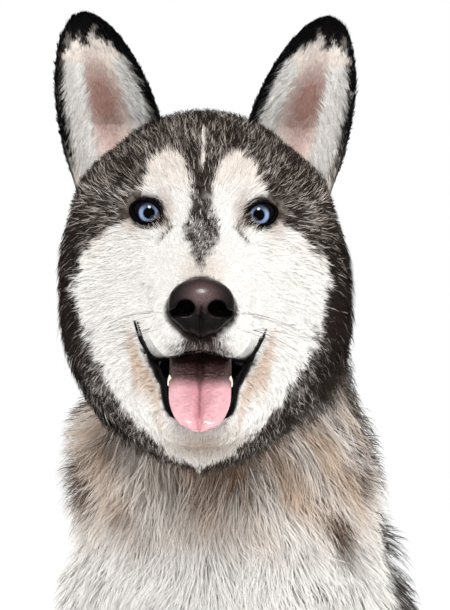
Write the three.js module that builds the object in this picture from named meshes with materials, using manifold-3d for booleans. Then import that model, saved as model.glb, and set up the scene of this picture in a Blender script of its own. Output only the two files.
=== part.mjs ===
// A sitting Siberian husky at life size, in millimetres. +Z is up, the dog faces -Y and its left side is +X.
// The origin lies on the floor under the middle of the rump.
// The head, body and tail are smooth fields of rounded masses, each meshed and then parted with thin cuts.
// The long coat of the cheeks, ruff, chest, thighs and tail stands on them as flat, tapered locks.

import * as THREE from "three";
import { mergeVertices } from "three/addons/utils/BufferGeometryUtils.js";
import Module from "manifold-3d";

const wasm = await Module();
wasm.setup();
const rad = THREE.MathUtils.degToRad;
const clamp = THREE.MathUtils.clamp;
const smooth = THREE.MathUtils.smoothstep;

// Driving dimensions
const EYE_HEIGHT = 650;
const EYE_FORWARD = 405;
const HEAD_TURN = rad(6);
const HEAD_ROLL = rad(1);
const CHEST_HALF = 90;
const NECK_HALF = 93;
const RUMP_HALF = 92;
const PAW = { x: 64, y: -335 };
const HIND_PAW = { x: 112, y: -190 };

// Gaps: between plane cuts, between curved faces, and between a lock and the neighbour it lies over
const CUT = 0.3;
const CLEAR = 0.45;
const OVERLIE = 0.25;

// Depth of the long coat that the flesh is drawn in by, where locks stand on it
const COAT_DEPTH = { cheek: 6, ruff: 12, rump: 8, tail: 10 };

// Locks: full length, width and thickness, how far the foot is sunk, and how high the tip stands over the flesh
const LOCKS = {
  cheek: { length: 52, width: 34, thick: 8, sink: 10, rise: 8 },
  ruff: { length: 108, width: 66, thick: 13, sink: 9, rise: 15 },
  chest: { length: 108, width: 64, thick: 13, sink: 9, rise: 14 },
  rump: { length: 104, width: 64, thick: 11, sink: 8, rise: 10 },
  breeches: { length: 78, width: 40, thick: 10, sink: 8, rise: 11 },
  elbow: { length: 58, width: 26, thick: 9, sink: 9, rise: 8 },
  tail: { length: 104, width: 54, thick: 13, sink: 9, rise: 13 },
};

// Coat and skin colours
const COAT = { white: 0xe9e4dc, grey: 0x6d6460, charcoal: 0x2c2727, sable: 0x8f8176 };
const BARE = { nose: 0x2a2021, tongue: 0xe58f95, iris: 0x7d9cc4 };

// Fields
// Each field gives the signed distance of a point from a surface, negative inside.

function ellipsoid([cx, cy, cz], [rx, ry, rz], pitch = 0, yaw = 0) {
  const turn = new THREE.Matrix4().makeRotationFromEuler(new THREE.Euler(pitch, 0, yaw, "ZXY"));
  const m = turn.transpose().elements;
  return (x, y, z) => {
    const px = x - cx;
    const py = y - cy;
    const pz = z - cz;
    const a = (m[0] * px + m[4] * py + m[8] * pz) / rx;
    const b = (m[1] * px + m[5] * py + m[9] * pz) / ry;
    const c = (m[2] * px + m[6] * py + m[10] * pz) / rz;
    const reach = Math.hypot(a, b, c);
    const slope = Math.hypot(a / rx, b / ry, c / rz);
    return slope < 1e-9 ? -Math.min(rx, ry, rz) : (reach * (reach - 1)) / slope;
  };
}

// A cone with round ends, from a sphere at one point to a sphere at another.
function roundCone(from, to, fromRadius, toRadius) {
  const [dx, dy, dz] = to.map((v, n) => v - from[n]);
  const l2 = dx * dx + dy * dy + dz * dz;
  const rr = fromRadius - toRadius;
  const a2 = l2 - rr * rr;
  return (x, y, z) => {
    const px = x - from[0];
    const py = y - from[1];
    const pz = z - from[2];
    const along = px * dx + py * dy + pz * dz;
    const past = along - l2;
    const x2 = (px * l2 - dx * along) ** 2 + (py * l2 - dy * along) ** 2 + (pz * l2 - dz * along) ** 2;
    const y2 = along * along * l2;
    const z2 = past * past * l2;
    const k = Math.sign(rr) * rr * rr * x2;
    if (Math.sign(past) * a2 * z2 > k) return Math.sqrt(x2 + z2) / l2 - toRadius;
    if (Math.sign(along) * a2 * y2 < k) return Math.sqrt(x2 + y2) / l2 - fromRadius;
    return (Math.sqrt((x2 * a2) / l2) + along * rr) / l2 - fromRadius;
  };
}

const pair = (field) => (x, y, z) => field(Math.abs(x), y, z);

// Joins masses, each with the width over which it melts into those before it.
const melt = (masses) => (x, y, z) => {
  let d = Infinity;
  for (const [field, width] of masses) {
    const e = field(x, y, z);
    const h = Math.max(width - Math.abs(d - e), 0) / width;
    d = Math.min(d, e) - (h * h * width) / 4;
  }
  return d;
};

const without = (field, tool, width = 4) => (x, y, z) => {
  const a = field(x, y, z);
  const b = -tool(x, y, z);
  const h = Math.max(width - Math.abs(a - b), 0) / width;
  return Math.max(a, b) + (h * h * width) / 4;
};

// The flesh under the coat: the field drawn in by a depth that changes from place to place.
const under = (field, depth) => (x, y, z) => field(x, y, z) + depth(x, y, z);

function slopeOf(field, p) {
  const e = 0.2;
  return new THREE.Vector3(
    field(p.x + e, p.y, p.z) - field(p.x - e, p.y, p.z),
    field(p.x, p.y + e, p.z) - field(p.x, p.y - e, p.z),
    field(p.x, p.y, p.z + e) - field(p.x, p.y, p.z - e),
  ).divideScalar(2 * e);
}

// Moves a point along the slope of a field until the field there has the given value.
function settle(field, p, value, steps = 5) {
  for (let step = 0; step < steps; step++) {
    const slope = slopeOf(field, p);
    p.addScaledVector(slope, (value - field(p.x, p.y, p.z)) / (slope.lengthSq() + 1e-9));
  }
  return p;
}

// The point where a ray from inside a field leaves it.
function wayOut(field, from, way, reach = 260) {
  let near = 0;
  let far = reach;
  for (let step = 0; step < 20; step++) {
    const d = (near + far) / 2;
    if (field(from.x + way.x * d, from.y + way.y * d, from.z + way.z * d) < 0) near = d;
    else far = d;
  }
  return from.clone().addScaledVector(way, near);
}

// Meshing: one vertex in each grid cell that the surface crosses, drawn onto the surface

// Grid lines from low to high, close together between two places and wider apart away from them.
function axis(low, high, coarse, fineLow = 0, fineHigh = 0, fine = coarse) {
  const stops = [low];
  while (stops.at(-1) < high) {
    const at = stops.at(-1);
    const away = Math.max(fineLow - at, at - fineHigh, 0);
    stops.push(at + Math.min(coarse, fine + away * 0.25));
  }
  return stops;
}

// A grid cell's corners are numbered by bits 1, 2 and 4 for the far side in x, y and z.
const CORNERS = [0, 1, 2, 3, 4, 5, 6, 7];
const DIRECTIONS = [1, 2, 4];
const EDGES = DIRECTIONS.flatMap((bit) => CORNERS.filter((c) => !(c & bit)).map((c) => [c, c | bit]));
const edgeAt = (corner, bit) => EDGES.findIndex(([a, b]) => a === corner && b === (corner | bit));
const FACES = DIRECTIONS.flatMap((bit) =>
  [0, bit].map((far) => [...EDGES.keys()].filter((e) => EDGES[e].every((c) => (c & bit) === far))),
);

// Groups the edges that the surface crosses in a cell into the separate sheets that pass through it.
// The mask has one bit for each corner that lies inside.
const sheetCases = new Map();
function sheetsOf(mask) {
  if (sheetCases.has(mask)) return sheetCases.get(mask);
  const inside = (c) => (mask >> c) & 1;
  const sheet = EDGES.map(([a, b], e) => (inside(a) === inside(b) ? -1 : e));
  const join = (e, f) => {
    const [from, to] = [sheet[e], sheet[f]];
    sheet.forEach((value, i) => {
      if (value === from) sheet[i] = to;
    });
  };
  for (const face of FACES) {
    const crossed = face.filter((e) => sheet[e] >= 0);
    if (crossed.length === 2) join(crossed[0], crossed[1]);
    if (crossed.length === 4)
      for (const c of CORNERS) {
        const [e, f] = crossed.filter((g) => EDGES[g].includes(c));
        if (inside(c) && f !== undefined) join(e, f);
      }
  }
  sheetCases.set(mask, sheet);
  return sheet;
}

function netGeometry(field, xs, ys, zs) {
  const [nx, ny, nz] = [xs.length, ys.length, zs.length];
  const values = new Float64Array(nx * ny * nz);
  const at = (i, j, k) => i + nx * (j + ny * k);
  for (let k = 0; k < nz; k++)
    for (let j = 0; j < ny; j++)
      for (let i = 0; i < nx; i++) values[at(i, j, k)] = field(xs[i], ys[j], zs[k]);

  const points = [];
  const vertexOf = new Map();
  for (let k = 0; k < nz - 1; k++)
    for (let j = 0; j < ny - 1; j++)
      for (let i = 0; i < nx - 1; i++) {
        const v = CORNERS.map((c) => values[at(i + (c & 1), j + ((c >> 1) & 1), k + (c >> 2))]);
        const mask = v.reduce((sum, d, c) => sum + (d < 0 ? 1 << c : 0), 0);
        if (mask === 0 || mask === 255) continue;
        const low = new THREE.Vector3(xs[i], ys[j], zs[k]);
        const high = new THREE.Vector3(xs[i + 1], ys[j + 1], zs[k + 1]);
        const size = high.clone().sub(low);
        const margin = size.clone().multiplyScalar(0.08);
        const corner = (c) => new THREE.Vector3(c & 1, (c >> 1) & 1, c >> 2);
        const sheet = sheetsOf(mask);
        const vertices = new Map();
        for (const label of new Set(sheet.filter((e) => e >= 0))) {
          const p = new THREE.Vector3();
          let count = 0;
          EDGES.forEach(([a, b], e) => {
            if (sheet[e] !== label) return;
            p.add(corner(a).lerp(corner(b), v[a] / (v[a] - v[b])));
            count++;
          });
          p.divideScalar(count).multiply(size).add(low);
          for (let step = 0; step < 3; step++)
            settle(field, p, 0, 1).clamp(low.clone().add(margin), high.clone().sub(margin));
          vertices.set(label, points.length);
          points.push(p);
        }
        vertexOf.set(at(i, j, k), sheet.map((label) => vertices.get(label)));
      }

  const faces = [];
  const quad = (a, b, c, d, flip) => {
    const ring = flip ? [d, c, b, a] : [a, b, c, d];
    const short = points[ring[0]].distanceTo(points[ring[2]]) < points[ring[1]].distanceTo(points[ring[3]]);
    const [p, q, r, s] = short ? ring : [ring[1], ring[2], ring[3], ring[0]];
    faces.push(p, q, r, p, r, s);
  };
  // The vertex, in the cell back by the bits of one corner, of the grid edge that runs along a direction.
  const beside = (i, j, k, back, bit) =>
    vertexOf.get(at(i - (back & 1), j - ((back >> 1) & 1), k - (back >> 2)))[edgeAt(back, bit)];
  for (let k = 1; k < nz - 1; k++)
    for (let j = 1; j < ny - 1; j++)
      for (let i = 1; i < nx - 1; i++) {
        const here = values[at(i, j, k)] < 0;
        const around = (bit, backs) => quad(...backs.map((back) => beside(i, j, k, back, bit)), !here);
        if (here !== values[at(i + 1, j, k)] < 0) around(1, [6, 4, 0, 2]);
        if (here !== values[at(i, j + 1, k)] < 0) around(2, [5, 1, 0, 4]);
        if (here !== values[at(i, j, k + 1)] < 0) around(4, [3, 2, 0, 1]);
      }
  return shell(points, faces);
}

// Solids

// A closed mesh from its points and faces, turned to face outwards.
function shell(points, faces) {
  let volume = 0;
  for (let i = 0; i < faces.length; i += 3) {
    const [a, b, c] = [points[faces[i]], points[faces[i + 1]], points[faces[i + 2]]];
    volume += a.dot(b.clone().cross(c));
  }
  if (volume < 0) faces.reverse();
  return new THREE.BufferGeometry().setFromPoints(points).setIndex(faces);
}

function solid(geometry, matrix, weld = 1e-4) {
  const bare = new THREE.BufferGeometry();
  bare.setAttribute("position", geometry.getAttribute("position").clone());
  if (geometry.index) bare.setIndex(geometry.index.clone());
  if (matrix) bare.applyMatrix4(matrix);
  const merged = mergeVertices(bare, weld);
  const vertProperties = merged.attributes.position.array;
  const triVerts = new Uint32Array(merged.index.array);
  return new wasm.Manifold(new wasm.Mesh({ numProp: 3, vertProperties, triVerts }));
}

function geometryOf(made) {
  const mesh = made.getMesh();
  const flat = new Float32Array(mesh.numVert * 3);
  for (let i = 0; i < mesh.numVert; i++) {
    const start = i * mesh.numProp;
    flat.set(mesh.vertProperties.subarray(start, start + 3), i * 3);
  }
  const geometry = new THREE.BufferGeometry();
  geometry.setAttribute("position", new THREE.BufferAttribute(flat, 3));
  geometry.setIndex(new THREE.BufferAttribute(new Uint32Array(mesh.triVerts), 1));
  return geometry;
}

// A solid with each vertex moved outwards, to clear room for it in its neighbours.
function inflated(made, by) {
  const merged = mergeVertices(geometryOf(made), 1e-4);
  merged.computeVertexNormals();
  const p = merged.attributes.position;
  const n = merged.attributes.normal;
  for (let i = 0; i < p.count; i++) {
    const at = new THREE.Vector3().fromBufferAttribute(p, i);
    at.addScaledVector(new THREE.Vector3().fromBufferAttribute(n, i), by);
    p.setXYZ(i, at.x, at.y, at.z);
  }
  return solid(merged);
}

const largest = (made) => made.decompose().reduce((a, b) => (a.volume() > b.volume() ? a : b));
const joined = (solids) => solids.reduce((a, b) => a.add(b));

function box(low, high, grow = 0) {
  const size = high.map((h, n) => h - low[n] + 2 * grow);
  const middle = high.map((h, n) => (h + low[n]) / 2);
  return solid(new THREE.BoxGeometry(...size).translate(...middle));
}

// Everything on the far side of a plane through a point: a large block whose lower face lies in the plane.
function beyond([x, y, z], tilt, grow = 0) {
  const reach = 700;
  const block = new THREE.BoxGeometry(reach, reach, reach + grow).translate(0, 0, (reach - grow) / 2);
  return solid(block.rotateX(tilt).translate(x, y, z));
}

// A tube of round section through points, closed into a ring or capped at its ends.
function tubeGeometry(points, radiusAt, sides, ring) {
  const count = points.length;
  const vertices = [];
  const faces = [];
  const middle = points.reduce((sum, p) => sum.add(p), new THREE.Vector3()).divideScalar(count);
  points.forEach((p, i) => {
    const next = points[ring ? (i + 1) % count : Math.min(i + 1, count - 1)];
    const last = points[ring ? (i + count - 1) % count : Math.max(i - 1, 0)];
    const along = next.clone().sub(last).normalize();
    const out = p.clone().sub(middle).projectOnPlane(along).normalize();
    const up = new THREE.Vector3().crossVectors(along, out);
    const radius = radiusAt(i / (count - 1));
    for (let s = 0; s < sides; s++) {
      const a = (s / sides) * 2 * Math.PI;
      const corner = p.clone().addScaledVector(out, radius * Math.cos(a));
      vertices.push(corner.addScaledVector(up, radius * Math.sin(a)));
    }
  });
  const spans = ring ? count : count - 1;
  for (let i = 0; i < spans; i++)
    for (let s = 0; s < sides; s++) {
      const a = i * sides + s;
      const b = i * sides + ((s + 1) % sides);
      const c = ((i + 1) % count) * sides + s;
      const d = ((i + 1) % count) * sides + ((s + 1) % sides);
      faces.push(a, c, b, b, c, d);
    }
  if (!ring)
    for (let s = 1; s < sides - 1; s++) {
      const end = (count - 1) * sides;
      faces.push(0, s, s + 1, end, end + s + 1, end + s);
    }
  return shell(vertices, faces);
}

// A closed shell between a front grid and a back grid of points, joined round the rim.
function cupShell(front, back) {
  const rows = front.length;
  const columns = front[0].length;
  const f = (r, c) => r * columns + c;
  const b = (r, c) => (rows + r) * columns + c;
  const faces = [];
  const quad = (p, q, r, s) => faces.push(p, q, r, p, r, s);
  for (let r = 0; r < rows - 1; r++)
    for (let c = 0; c < columns - 1; c++) {
      quad(f(r, c), f(r, c + 1), f(r + 1, c + 1), f(r + 1, c));
      quad(b(r, c), b(r + 1, c), b(r + 1, c + 1), b(r, c + 1));
    }
  for (let c = 0; c < columns - 1; c++) {
    quad(f(0, c), b(0, c), b(0, c + 1), f(0, c + 1));
    quad(f(rows - 1, c), f(rows - 1, c + 1), b(rows - 1, c + 1), b(rows - 1, c));
  }
  for (let r = 0; r < rows - 1; r++) {
    quad(f(r, 0), f(r + 1, 0), b(r + 1, 0), b(r, 0));
    quad(f(r, columns - 1), b(r, columns - 1), b(r + 1, columns - 1), f(r + 1, columns - 1));
  }
  return shell([...front.flat(), ...back.flat()], faces);
}

// Head, in its own frame: the origin is midway between the eyes

const MOUTH_CORNER = { y: -25, z: -67 };
const UPPER_LIP = { y: -88, z: -84 };
const LOWER_LIP = { y: -90, z: -129 };
const FLEW = { x: 21, half: 10, drop: 8 };
const NOSE = { y: -91, z: -60 };
const EYE = { x: 35, y: -6.5, z: 0, radius: 11 };
const LID = { half: 9.8, tall: 7.7, thick: 1.8, slant: rad(16), outward: rad(15) };

const headMasses = melt([
  [ellipsoid([0, 42, 2], [74, 64, 64]), 20], // skull
  [ellipsoid([0, 28, 18], [52, 42, 44]), 22], // forehead
  [pair(ellipsoid([50, 45, 12], [38, 42, 48])), 20], // temples
  [pair(ellipsoid([46, 38, -60], [49, 50, 74])), 26], // cheeks
  [ellipsoid([0, 15, -106], [60, 55, 54]), 26], // throat
  [pair(ellipsoid([38, 24, -22], [33, 34, 30])), 16], // cheekbones
  [pair(ellipsoid([27, 9, 18], [20, 16, 12])), 10], // brows
  [roundCone([0, -2, -40], [0, -71, -65], 40, 22), 20], // muzzle
  [roundCone([0, -14, -15], [0, -77, -54], 18, 13), 12], // bridge
  [pair(ellipsoid([15, -66, -72], [17, 22, 19])), 10], // whisker pads
  [pair(roundCone([36, 4, -90], [14, -66, -126], 30, 15)), 22], // lower jaw
  [ellipsoid([0, -74, -131], [19, 17, 14]), 12], // chin
]);

// The lips' edges seen from the side run straight from the corner of the mouth to the front,
// and the upper one hangs lower at each side of the nose.
const lipHeight = (lip, drop) => (x, y) => {
  const t = (y - MOUTH_CORNER.y) / (lip.y - MOUTH_CORNER.y);
  const hang = drop * Math.exp(-(((Math.abs(x) - FLEW.x) / FLEW.half) ** 2)) * clamp(2.2 * t - 0.6, 0, 1);
  return MOUTH_CORNER.z + t * (lip.z - MOUTH_CORNER.z) - hang;
};
const upperLipHeight = lipHeight(UPPER_LIP, FLEW.drop);
const lowerLipHeight = lipHeight(LOWER_LIP, 0);
const mouthOpening = melt([
  [(x, y, z) => Math.max(z - upperLipHeight(x, y), 0.7 * (lowerLipHeight(x, y) - z)), 6],
  [ellipsoid([0, -38, -86], [20, 32, 12], rad(32)), 6],
]);

// One lip: a cord along the edge where the opening meets the face.
function lipSolid(height, thick) {
  const steps = 10;
  const sweep = rad(80);
  const centre = new THREE.Vector3(0, MOUTH_CORNER.y, 0);
  const onLip = (x, y) => headMasses(x, y, height(x, y)) + 0.35 * thick;
  const points = Array.from({ length: steps + 1 }, (_, i) => {
    const a = sweep * ((2 * i) / steps - 1);
    const p = wayOut(onLip, centre, new THREE.Vector3(Math.sin(a), -Math.cos(a), 0), 110);
    return p.setZ(height(p.x, p.y));
  });
  return solid(tubeGeometry(points, (t) => thick * (0.55 + 0.45 * Math.sin(Math.PI * t)), 5, false));
}

// Eyes: each eye's own frame has +Y into the head and +X towards the outer corner.
const eyeFrame = (side) =>
  new THREE.Matrix4()
    .makeTranslation(side * EYE.x, EYE.y, EYE.z)
    .multiply(
      new THREE.Matrix4().makeRotationFromEuler(
        new THREE.Euler(0, -side * LID.slant, side * LID.outward, "ZXY"),
      ),
    );

function eyeball(radius, side) {
  return solid(new THREE.SphereGeometry(radius, 12, 8).rotateX(Math.PI / 2), eyeFrame(side));
}

// The gap between the lids, from the eyeball out through the face.
function eyeOpening(side) {
  const gap = new THREE.SphereGeometry(1, 14, 8).scale(LID.half - 1, 9, LID.tall - 1);
  return solid(gap.translate(0, -EYE.radius - 1, 0), eyeFrame(side));
}

// The lids are one closed rim, drawn round an almond on the eyeball.
function lidRim(side) {
  const steps = 12;
  const reach = EYE.radius + 1.6;
  const points = Array.from({ length: steps }, (_, i) => {
    const a = (i / steps) * 2 * Math.PI;
    const x = LID.half * Math.cos(a) * (1 + 0.1 * Math.cos(a) ** 4);
    const z = LID.tall * Math.sin(a);
    return new THREE.Vector3(x, -Math.sqrt(Math.max(reach ** 2 - x * x - z * z, 9)), z);
  });
  return solid(tubeGeometry(points, () => LID.thick, 4, true), eyeFrame(side));
}

// Ears: a cup that opens forward, widest low down, its foot sunk in the head
const EAR = { rootZ: 8, shoulderZ: 58, tipZ: 129.5, half: 37, footHalf: 24, inner: 50, lean: 26 };
const EAR_CUP = { depth: 27, thick: 6, edgeY: 42, splay: 9, tipForward: 8 };

function earPoint(u, v, back) {
  const z = EAR.rootZ + v * (EAR.tipZ - EAR.rootZ);
  const t = Math.max(0, (z - EAR.shoulderZ) / (EAR.tipZ - EAR.shoulderZ));
  const foot = EAR.footHalf + (EAR.half - EAR.footHalf) * smooth(z, EAR.rootZ, EAR.shoulderZ - 12);
  const half = foot * Math.max(1 - t ** 1.5, 0) ** 0.65;
  const middle = EAR.inner + EAR.lean * v ** 1.1 + 3 * t;
  const cup = EAR_CUP.depth * (1 - 0.86 * t) * (1 - Math.abs(u) ** 2.4);
  const skin = back ? EAR_CUP.thick * (1 - 0.45 * t) * (1 - 0.55 * Math.abs(u) ** 3) : 0;
  return new THREE.Vector3(
    middle + u * (half + (back ? 1.5 * (1 - t) : 0)),
    EAR_CUP.edgeY + EAR_CUP.splay * u + cup + skin - EAR_CUP.tipForward * t,
    z + 0.25 * skin * t,
  );
}

function earSolid(side) {
  const rows = 9;
  const columns = 7;
  const grid = (back) =>
    Array.from({ length: rows }, (_, r) =>
      Array.from({ length: columns }, (_, c) => {
        const p = earPoint((2 * c) / (columns - 1) - 1, Math.min(r / (rows - 1), 0.996), back);
        return p.setX(side * p.x);
      }),
    );
  return solid(cupShell(grid(false), grid(true)));
}

// Nose
const noseMasses = melt([
  [ellipsoid([0, NOSE.y + 1, NOSE.z + 4], [16, 14, 13]), 5],
  [pair(ellipsoid([11, NOSE.y + 3, NOSE.z], [9, 13, 12])), 5],
  [ellipsoid([0, NOSE.y + 3, NOSE.z - 9], [9, 10, 9]), 5],
]);
// Each nostril is a round pit with a slit that runs out to the wing of the nose.
function nostril(side) {
  const pit = new THREE.SphereGeometry(1, 10, 6).scale(4.4, 9, 3.8);
  const slit = new THREE.SphereGeometry(1, 8, 6).scale(5, 9, 1.9);
  const pitSolid = solid(pit.translate(side * 9, NOSE.y - 10, NOSE.z - 1));
  return pitSolid.add(solid(slit.translate(side * 15, NOSE.y - 7, NOSE.z - 3.5)));
}
const noseAxes = [
  axis(-30, 31, 5.6).map((x) => x + 0.4),
  axis(NOSE.y - 24, NOSE.y + 26, 6.4),
  axis(NOSE.z - 30, NOSE.z + 29, 5.6),
];
const noseSolid = solid(netGeometry(noseMasses, ...noseAxes)).subtract(nostril(1)).subtract(nostril(-1));

// Tongue and teeth
const TONGUE = { half: 18.5, thick: 7, lift: 4.6, groove: 1.6 };
const tonguePath = new THREE.CatmullRomCurve3(
  [
    [0, -22, -66],
    [0, -42, -82],
    [0, -62, -99],
    [0, -80, -115],
    [0, -93, -126],
    [0, -99, -134],
  ].map((p) => new THREE.Vector3(...p)),
);

function tonguePoint(u, t, under) {
  const along = tonguePath.getTangentAt(t);
  const up = along.clone().cross(new THREE.Vector3(1, 0, 0)).normalize();
  const round = Math.sqrt(Math.max(1 - Math.max(0, (t - 0.72) / 0.285) ** 2, 0.02));
  const half = TONGUE.half * (0.92 + 0.08 * Math.sin(t * Math.PI)) * round;
  const edge = Math.sqrt(Math.max(1 - u ** 4, 0)) * Math.min(1, round * 1.6);
  const groove = under ? 0 : TONGUE.groove * Math.exp(-((u / 0.2) ** 2));
  const height = (under ? -0.5 : 0.5) * TONGUE.thick * edge + TONGUE.lift - groove + 1.5 * u * u;
  return tonguePath.getPointAt(t).setX(u * half).addScaledVector(up, height);
}

function tongueSolid() {
  const rows = 9;
  const columns = 7;
  const grid = (under) =>
    Array.from({ length: rows }, (_, r) =>
      Array.from({ length: columns }, (_, c) => tonguePoint((2 * c) / (columns - 1) - 1, r / (rows - 1), under)),
    );
  return solid(cupShell(grid(false), grid(true)));
}

// The lower canine teeth stand up from the jaw beside the tongue.
const CANINE = { x: 17.2, y: -76, z: -107, tall: 17, radius: 3.6, rake: rad(72) };
const canine = (side) =>
  solid(
    new THREE.ConeGeometry(CANINE.radius, CANINE.tall, 7)
      .rotateX(CANINE.rake)
      .translate(side * CANINE.x, CANINE.y, CANINE.z),
  );

// Body, in the part's frame
const NECK_FOOT = [0, -285, 455];
const NECK_TOP = [0, -352, 590];
const ELBOW = [PAW.x + 10, -272, 290];
const WRIST = [PAW.x + 2, -306, 95];
const HOCK = [HIND_PAW.x - 4, -38, 40];
const KNEE = [HIND_PAW.x + 2, -172, 140];

const bodyMasses = [
  [ellipsoid([0, -258, 372], [CHEST_HALF, 112, 168], rad(31)), 30], // ribcage
  [ellipsoid([0, -150, 235], [CHEST_HALF - 6, 100, 140], rad(42)), 40], // belly and loin
  [ellipsoid([0, -30, 108], [RUMP_HALF, 98, 118], rad(12)), 50], // rump
  [pair(ellipsoid([36, -322, 385], [44, 56, 92], rad(8))), 40], // forechest
  [pair(ellipsoid([50, -285, 400], [42, 62, 108], rad(14))), 36], // shoulders
  [ellipsoid([0, -245, 478], [66, 74, 66]), 44], // withers
  [roundCone(NECK_FOOT, NECK_TOP, NECK_HALF, 91), 40], // neck
  [pair(roundCone([65, -312, 395], ELBOW, 44, 37)), 36], // upper arms
  [pair(roundCone(ELBOW, WRIST, 34, 25)), 20], // forearms
  [pair(roundCone(WRIST, [PAW.x, -320, 34], 25, 27)), 10], // pasterns
  [pair(ellipsoid([RUMP_HALF + 2, -78, 128], [50, 108, 96], rad(-30))), 36], // thighs
  [pair(ellipsoid([RUMP_HALF + 12, -150, 160], [42, 62, 60], rad(-30))), 30], // knees
  [pair(roundCone(KNEE, HOCK, 34, 24)), 20], // shins
  [pair(roundCone(HOCK, [HIND_PAW.x, -160, 26], 24, 25)), 14], // hind feet
];

// One paw: a rounded pad and four toes, the middle two further forward.
function pawMasses({ x, y }) {
  const toes = [-20, -7, 7, 20].map((dx, i) => {
    const ahead = i === 1 || i === 2 ? 30 : 20;
    return [pair(ellipsoid([x + dx, y - ahead, 19], [9.5, 20, 18])), 6];
  });
  return [[pair(ellipsoid([x, y + 4, 26], [30, 34, 27])), 8], ...toes];
}
const bodyField = melt([...bodyMasses, ...pawMasses(PAW), ...pawMasses(HIND_PAW)]);

// The tail lies on the floor and curls round the left side.
const tailPath = new THREE.CatmullRomCurve3(
  [
    [0, 40, 88],
    [12, 92, 62],
    [58, 140, 50],
    [128, 156, 48],
    [196, 134, 48],
    [250, 92, 46],
    [276, 52, 40],
  ].map((p) => new THREE.Vector3(...p)),
);
const TAIL = { root: 30, swell: 21, beads: 15, split: [104, 152, 48] };
const tailRadius = (t) => {
  const swell = Math.sin(Math.PI * Math.min(t * 1.08, 1)) ** 0.8;
  return TAIL.root + TAIL.swell * swell * (1 - 0.25 * t) - 14 * t ** 6;
};
const tailLinks = Array.from({ length: TAIL.beads - 1 }, (_, i) => {
  const [s, t] = [i / (TAIL.beads - 1), (i + 1) / (TAIL.beads - 1)];
  const [a, b] = [tailPath.getPoint(s).toArray(), tailPath.getPoint(t).toArray()];
  return [roundCone(a, b, tailRadius(s), tailRadius(t)), 14];
});
const tailField = melt(tailLinks);

// Cuts
const NECK_CUT = { at: [0, -290, 462], tilt: rad(24) };
const WAIST_CUT = { at: [0, -150, 262], tilt: rad(38) };
const FAR = 900;
const sides = { left: 1, right: -1 };
const onSide = (side, inner) => (side > 0 ? [inner, FAR] : [-FAR, -inner]);
const limbBox = (side, inner, [backY, frontY], [lowZ, highZ], grow) => {
  const [lowX, highX] = onSide(side, inner);
  return box([lowX, frontY, lowZ], [highX, backY, highZ], grow);
};
const limbs = {
  forepaw: { inner: 18, y: [-262, -FAR], z: [-FAR, 62], near: [[8, -390, -12], [118, -240, 90]], step: 12 },
  foreleg: { inner: 18, y: [-225, -FAR], z: [62, 268], near: [[8, -350, 40], [140, -205, 300]], step: 21 },
  hindpaw: { inner: 80, y: [-148, -262], z: [-FAR, 62], near: [[66, -250, -12], [160, -120, 90]], step: 12 },
  hindleg: { inner: 80, y: [120, -148], z: [-FAR, 250], near: [[56, -250, -12], [175, 60, 280]], step: 24 },
};

// One stretch of a field as a closed solid, cut off square past its two corners and flat on the floor.
function stretch(field, low, high, step) {
  const limit = (x, y, z) =>
    Math.max(low[0] - x, x - high[0], low[1] - y, y - high[1], low[2] - z, z - high[2]);
  const [xs, ys, zs] = low.map((l, n) => axis(l - 1.5 * step, high[n] + 1.5 * step, step).map((v) => v + 0.013));
  const whole = solid(netGeometry((x, y, z) => Math.max(field(x, y, z), limit(x, y, z)), xs, ys, zs));
  return whole.trimByPlane([0, 0, 1], 0);
}

// Locks

const LOCK_STEPS = [0, 0.36, 0.72, 1];
const LOCK_WIDTHS = [0.72, 1, 0.68];
const LOCK_THICKNESSES = [0.8, 1, 0.6];

// One flat, tapered lock. From its foot it rises out of the flesh, bends along the lie of the coat and ends in
// a point. Each section is a flat rhombus, and the last one closes in the tip.
function lockSolid({ flesh, foot, lie, size, turn }, grow) {
  const points = [];
  const p = settle(flesh, foot.clone(), -size.sink);
  LOCK_STEPS.forEach((share, i) => {
    const out = slopeOf(flesh, p).normalize();
    const way = lie(p).projectOnPlane(out).normalize().applyAxisAngle(out, turn * share);
    if (i === LOCK_STEPS.length - 1) {
      points.push(p.clone().addScaledVector(way, grow));
      return;
    }
    const across = new THREE.Vector3().crossVectors(out, way);
    const half = 0.5 * size.width * LOCK_WIDTHS[i] + grow;
    const tall = 0.5 * size.thick * LOCK_THICKNESSES[i] + grow;
    points.push(p.clone().addScaledVector(across, half), p.clone().addScaledVector(out, tall));
    points.push(p.clone().addScaledVector(across, -half), p.clone().addScaledVector(out, -tall));
    const next = LOCK_STEPS[i + 1];
    p.addScaledVector(way, size.length * (next - share));
    settle(flesh, p, -size.sink + (size.sink + size.rise) * next ** 0.6, 3);
    p.z = Math.max(p.z, 0.5 * size.thick);
  });
  const faces = [0, 1, 2, 0, 2, 3];
  const tip = points.length - 1;
  for (let i = 0; i < LOCK_STEPS.length - 1; i++)
    for (let c = 0; c < 4; c++) {
      const [a, b] = [4 * i + c, 4 * i + ((c + 1) % 4)];
      if (4 * (i + 1) === tip) faces.push(b, a, tip);
      else faces.push(b, a, a + 4, b, a + 4, b + 4);
    }
  return solid(shell(points, faces));
}

function seeded(seed) {
  let state = seed;
  return () => {
    state = (state * 1664525 + 1013904223) >>> 0;
    return state / 2 ** 32;
  };
}

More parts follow.
